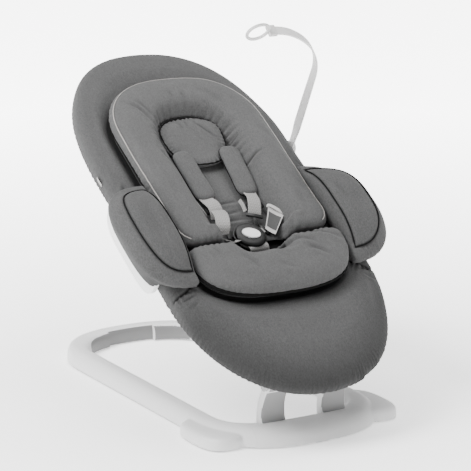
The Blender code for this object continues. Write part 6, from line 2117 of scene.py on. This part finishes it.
@dataclass(frozen=True)
class Harness:
    """The harness: shoulder pads, webs, adjusters, tongues and the round buckle."""

    pad_x: float = 0.0445
    pad_s: float = 0.249
    pad_n: float = 0.302
    splay: float = math.radians(3.0)
    tilt: float = math.radians(5.0)
    pad_length: float = 0.116
    pad_width: float = 0.04
    pad_thickness: float = 0.015
    buckle_s: float = 0.1045
    buckle_low: float = 0.2845
    button_turn: float = math.radians(-20.0)
    button_length: float = 0.033
    button_breadth: float = 0.023

    def build(self) -> None:
        """Build the harness."""
        for side in Side:
            self._pad(side)
            for node in ("buckle_tongue_" + side.suffix, "strap_adjuster_" + side.suffix):
                fit_out(Bench.copy_node(node, 0.0004), Finish.DARK, Body.SEAT)
        for strap in STRAPS:
            strap.build()
        self._buckle()
        self._care_tag()

    def _buckle(self) -> None:
        """Build the stepped round buckle and its oval button."""
        low = self.buckle_low
        angle = circle(96) - 0.5 * math.pi
        rings = []
        for radius, n in ((0.0285, low + 0.0004), (0.0305, low + 0.0016), (0.0308, low + 0.004),
                (0.03, low + 0.0052), (0.0282, low + 0.0056), (0.0276, low + 0.0062),
                (0.0276, low + 0.0086), (0.027, low + 0.0104), (0.0254, low + 0.0117),
                (0.0225, low + 0.0124), (0.018, low + 0.0126)):
            ring = np.column_stack([radius * np.cos(angle), self.buckle_s + radius * np.sin(angle)])
            rings.append(SEAT.world(lifted(ring, n)))
        body = Bench.shade(Bench.sweep("buckle_body_look", rings), 30.0)
        fit_out(body, Finish.DARK, Body.SEAT, "buckle_body")
        cosine, sine = math.cos(self.button_turn), math.sin(self.button_turn)
        rings = []
        for inset, n in ((0.0, low + 0.009), (0.0, low + 0.0144), (0.0004, low + 0.015),
                (0.0012, low + 0.0153), (0.002, low + 0.0151), (0.0026, low + 0.0147),
                (0.006, low + 0.015), (0.01, low + 0.0153)):
            across = (0.5 * self.button_length - inset) * np.cos(angle)
            upward = (0.5 * self.button_breadth - inset) * np.sin(angle)
            ring = np.column_stack([across * cosine - upward * sine,
                    self.buckle_s + across * sine + upward * cosine])
            rings.append(SEAT.world(lifted(ring, n)))
        button = Bench.shade(Bench.sweep("buckle_button_look", rings), 30.0)
        fit_out(button, Finish.BUTTON, Body.BUTTON, "buckle_button")

    def _care_tag(self) -> None:
        """Sew in the blank folded tag at the buckle's right."""
        top_left, top_right = np.array(((0.0575, 0.156, 0.304), (0.074, 0.128, 0.309)))
        low_left, low_right = np.array(((0.0345, 0.115, 0.293), (0.042, 0.093, 0.299)))
        columns, rows = 12, 16
        grid = np.zeros((rows + 1, columns + 1, 3))
        for row in range(rows + 1):
            down = row / rows
            left = (1 - down) * top_left + down * low_left
            right = (1 - down) * top_right + down * low_right
            for column in range(columns + 1):
                share = column / columns
                grid[row, column] = (1 - share) * left + share * right
                grid[row, column, 2] += (0.003 * math.sin(math.pi * down)
                        - 0.0012 * math.sin(math.pi * share))
        tag = self._sheet_piece("care_tag", SEAT.world(grid), 0.0005)
        fit_out(tag, Finish.TAG, Body.SEAT)
        face = grid[4:rows - 1, 1:columns] + np.array((0.0, 0.0, 0.0007))
        panel = self._sheet_piece("care_tag_face", SEAT.world(face), 0.0002)
        fit_out(panel, Finish.TAG_FACE, Body.SEAT)
        hem = Bench.web("care_tag_hem", [
            (0.056, 0.1575, 0.3035), (0.06, 0.154, 0.3065), (0.069, 0.1385, 0.3085),
            (0.0755, 0.1275, 0.309)], 0.0075, 0.0016)
        fit_out(hem, Finish.TAG, Body.SEAT)

    @staticmethod
    def _sheet_piece(name: str, grid: np.ndarray, thickness: float) -> Piece:
        """Return a thin sheet through a grid of world points.

        Args:
            name: The sheet's name.
            grid: Its points, row by row.
            thickness: Its thickness.

        Returns:
            The sheet.
        """
        Bench.clear()
        rows, columns, _ = grid.shape
        bpy.ops.mesh.primitive_grid_add(x_subdivisions=columns - 1, y_subdivisions=rows - 1,
                size=1.0)
        piece = bpy.context.object
        piece.name = name
        place_points(piece, grid.reshape(-1, 3))
        Bench.apply(piece, "SOLIDIFY", thickness=thickness, offset=0.0)
        Bench.edit(piece)
        bpy.ops.mesh.normals_make_consistent(inside=False)
        bpy.ops.object.mode_set(mode="OBJECT")
        return Bench.shade(piece, 40.0)

    def pad_axes(self, side: Side) -> Matrix:
        """Return one shoulder pad's axes in the world.

        Args:
            side: The pad's side.

        Returns:
            The axes.
        """
        sign = side.value
        return (SEAT.matrix @ Matrix.Translation((sign * self.pad_x, self.pad_s, self.pad_n))
                @ Matrix.Rotation(-sign * self.splay, 4, "Z") @ Matrix.Rotation(self.tilt, 4, "X"))

    def _pad(self, side: Side) -> None:
        """Build one shoulder pad.

        Args:
            side: The pad's side.
        """
        rings = []
        for inset, share in ((0.013, -1.0), (0.006, -0.86), (0.0015, -0.45), (0.0, 0.0),
                (0.0015, 0.45), (0.006, 0.86), (0.013, 1.0)):
            rings.append(lifted(self._pad_plan(inset).ring(0.0, 20, 20),
                    0.5 * self.pad_thickness * share))
        rings = [placed(ring, self.pad_axes(side)) for ring in flowing(rings, 0.002)]
        pad = Bench.sweep(f"shoulder_pad_{side.suffix}_look", rings)
        Bench.soften(pad, 0.0018, 3)
        Bench.refine(pad)
        relief = Relief(pad).lumps(0.0005, 0.05, 71 + side.value)
        edge = self._pad_edge(side)
        relief.groove(SEAT.seat(edge), 0.0006, 0.0014, 0.6)
        relief.apply()
        body = Body.PAD_LEFT if side is Side.LEFT else Body.PAD_RIGHT
        fit_out(pad, Finish.INSERT, body, "shoulder_pad_" + side.suffix, fill=0.7)
        seam = Bench.tube("shoulder_pad_seam_" + side.suffix, edge, 0.0008, looped=True)
        fit_out(seam, Finish.TRIM, body)

    def _pad_edge(self, side: Side) -> np.ndarray:
        """Return the seam round a shoulder pad, in the world."""
        points = lifted(self._pad_plan(0.0004).ring(0.0, 12, 14), -0.0015)
        return placed(points, self.pad_axes(side))

    def _pad_plan(self, inset: float) -> Plan:
        """Return a shoulder pad's outline, drawn in by an inset.

        Args:
            inset: How far it is drawn in.

        Returns:
            The outline.
        """
        half = 0.5 * self.pad_length
        return Plan(0.5 * self.pad_width - inset, -half + inset, -half + 0.022, half - 0.022,
                half - inset, 2.6, 2.6)


@dataclass(frozen=True)
class ToyBar:
    """The bent toy bar with its hub, its socket and its ring."""

    pivot: tuple[float, float, float] = (0.2285, 0.354, 0.236)
    lean: float = math.radians(12.6)
    heading: float = math.radians(103.5)
    leg: float = 0.24
    wide_radius: float = 0.2
    wide_turn: float = math.radians(50.0)
    tight_radius: float = 0.1
    tight_turn: float = math.radians(26.5)
    width: float = 0.017
    swell: float = 0.006
    thickness: float = 0.003
    ring_radius: float = 0.0195
    ring_stock: float = 0.0028
    neck_length: float = 0.01
    neck_wall: float = 0.0022
    fineness: int = 4

    @property
    def axes(self) -> Matrix:
        """Return the toy bar's axes in the world."""
        return SEAT.matrix @ Matrix.Translation(self.pivot) @ Matrix.Rotation(self.lean, 4, "X")

    def build(self) -> None:
        """Build the toy bar."""
        fit_out(self._strip(), Finish.STRIP, Body.TOY_BAR, "toy_bar_strip")
        fit_out(self._ring(), Finish.GREY, Body.TOY_BAR, "toy_ring")
        fit_out(Bench.copy_node("toy_bar_hub", 0.0005), Finish.GREY, Body.TOY_BAR)
        fit_out(Bench.copy_node("toy_bar_pin"), Finish.STEEL, Body.TOY_BAR)
        fit_out(Bench.copy_node("toy_bar_socket", 0.0006), Finish.GREY, Body.SEAT)

    def _line(self) -> np.ndarray:
        """Return the strip's middle line in the toy bar's axes.

        Returns:
            The line's points.
        """
        x = 0.0
        height = 0.0
        heading = self.heading
        points = [(x, 0.0, height)]
        for radius, turn, length, steps in (
                (0.0, 0.0, self.leg, 6 * self.fineness),
                (self.wide_radius, self.wide_turn, self.wide_radius * self.wide_turn,
                 8 * self.fineness),
                (self.tight_radius, self.tight_turn, self.tight_radius * self.tight_turn,
                 5 * self.fineness)):
            for _ in range(steps):
                heading += 0.5 * turn / steps
                x += length / steps * math.cos(heading)
                height += length / steps * math.sin(heading)
                heading += 0.5 * turn / steps
                points.append((x, 0.0, height))
        return np.array(points)

    def _band(self, name: str, points: np.ndarray, width: np.ndarray | float,
            thickness: float, power: float) -> Piece:
        """Lay a flat band along points of the toy bar's plane.

        Args:
            name: The new piece's name.
            points: The band's middle line in the toy bar's axes.
            width: The band's width, one value or one for each point.
            thickness: The band's thickness.
            power: How square the section's ends are.

        Returns:
            The new piece.
        """
        across = np.tile(np.array(self.axes)[:3, 1], (len(points), 1))
        return Bench.band(name, placed(points, self.axes), across, width, thickness, power=power)

    def _strip(self) -> Piece:
        """Return the bent strip.

        Returns:
            The strip.
        """
        line = self._line()
        run = line[1] - line[0]
        line[0] = line[0] + run / np.linalg.norm(run) * 0.005
        way = np.concatenate([[0.0], np.cumsum(np.linalg.norm(np.diff(line, axis=0), axis=1))])
        swell = smooth_step(way, 0.03, 0.07) * (1.0 - smooth_step(way, 0.08, 0.36))
        widths = self.width + self.swell * swell
        return self._band("toy_bar_strip_look", line, widths, self.thickness, 14.0)

    def _ring(self) -> Piece:
        """Return the ring with the neck that grips the strip's end.

        Returns:
            The ring.
        """
        line = self._line()
        tip = line[-1]
        heading = (line[-1] - line[-2]) / np.linalg.norm(line[-1] - line[-2])
        centre = tip + heading * (self.neck_length * 0.4 + self.ring_radius)
        Bench.clear()
        turn = Matrix.Rotation(0.5 * math.pi, 4, "X")
        bpy.ops.mesh.primitive_torus_add(major_segments=96, minor_segments=20,
                major_radius=self.ring_radius, minor_radius=self.ring_stock)
        ring = bpy.context.object
        ring.name = "toy_ring_look"
        ring.data.transform(self.axes @ Matrix.Translation(centre) @ turn)
        ring.matrix_world = Matrix.Identity(4)
        start = tip - heading * self.neck_length
        end = centre - heading * self.ring_radius
        points = start + np.outer(np.linspace(0.0, 1.0, 12), end - start)
        neck = self._band("toy_ring_neck", points, self.width + 2.0 * self.neck_wall,
                self.thickness + 2.0 * self.neck_wall, 8.0)
        Bench.combine(ring, neck)
        return Bench.shade(ring, 40.0)


@dataclass(frozen=True)
class Studio:
    """A pale floor, soft light all round and the camera at the photo's place."""

    floor_size: float = 300.0
    floor_glow: float = 6.0
    near_glow: float = 0.17
    near_radius: float = 0.45
    far_radius: float = 2.2
    room_light: float = 0.5
    focal_length: float = 183.4
    place: tuple[float, float, float] = (-2.03257, -3.50773, 1.2759)
    target: tuple[float, float, float] = (0.01049, -0.0393, 0.28716)

    def build(self) -> None:
        """Build the studio."""
        self._floor()
        self._world()
        self._lights()
        self._camera()

    def _floor(self) -> None:
        """Lay a wide pale floor that glows a little as painted light, standing in for a lit studio
        sweep, its glow dimmed near the lounger as painted shade.
        """
        Bench.clear()
        bpy.ops.mesh.primitive_plane_add(size=self.floor_size)
        floor = bpy.context.object
        floor.name = "studio_floor"
        paint = Paint("studio_floor")
        across, along, _ = paint.parts(paint.place())
        reach = (across * across + along * along) ** 0.5
        # Painted shade: the floor glows less near the lounger.
        far = ((reach - self.near_radius) / self.far_radius).clamped()
        glow = paint.mix(far, grey(self.near_glow), grey(1.0))
        floor.data.materials.append(paint.finish(
            Base_Color=(0.95, 0.95, 0.947, 1.0), Roughness=0.95, Specular_IOR_Level=0.1,
            Emission_Color=glow, Emission_Strength=self.floor_glow))

    def _world(self) -> None:
        """Fill the room with even white light."""
        world = bpy.data.worlds.new("studio")
        bpy.context.scene.world = world
        world.use_nodes = True
        shade = world.node_tree.nodes["Background"]
        shade.inputs["Color"].default_value = (1.0, 1.0, 1.0, 1.0)
        shade.inputs["Strength"].default_value = self.room_light

    def _lights(self) -> None:
        """Hang the soft lights."""
        for name, place, size, power in (("key", (-2.6, 0.4, 3.6), 2.0, 290.0),
                ("top", (0.5, 0.6, 4.0), 3.0, 190.0)):
            data = bpy.data.lights.new(name, "AREA")
            data.size = size
            data.energy = power
            lamp = bpy.data.objects.new("light_" + name, data)
            bpy.context.scene.collection.objects.link(lamp)
            lamp.location = place
            aim = Vector((0.0, 0.0, 0.25)) - Vector(place)
            lamp.rotation_euler = aim.to_track_quat("-Z", "Y").to_euler()

    def _camera(self) -> None:
        """Put the camera at the photo's place."""
        data = bpy.data.cameras.new("camera")
        data.lens = self.focal_length
        data.sensor_width = 36.0
        camera = bpy.data.objects.new("camera", data)
        bpy.context.scene.collection.objects.link(camera)
        camera.location = self.place
        aim = Vector(self.target) - Vector(self.place)
        camera.rotation_euler = aim.to_track_quat("-Z", "Y").to_euler()
        bpy.context.scene.camera = camera


def main() -> None:
    """Build every piece of the lounger and the studio round it."""
    logging.basicConfig(level=logging.INFO, format="%(message)s")
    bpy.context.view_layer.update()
    for part in (FloorLoop(), Underframe(), SeatShell(), SeatCover(), SideCheeks(), Bolsters(),
            NewbornInsert(), Harness(), ToyBar()):
        part.build()
    Studio().build()


if __name__ == "__main__":
    main()
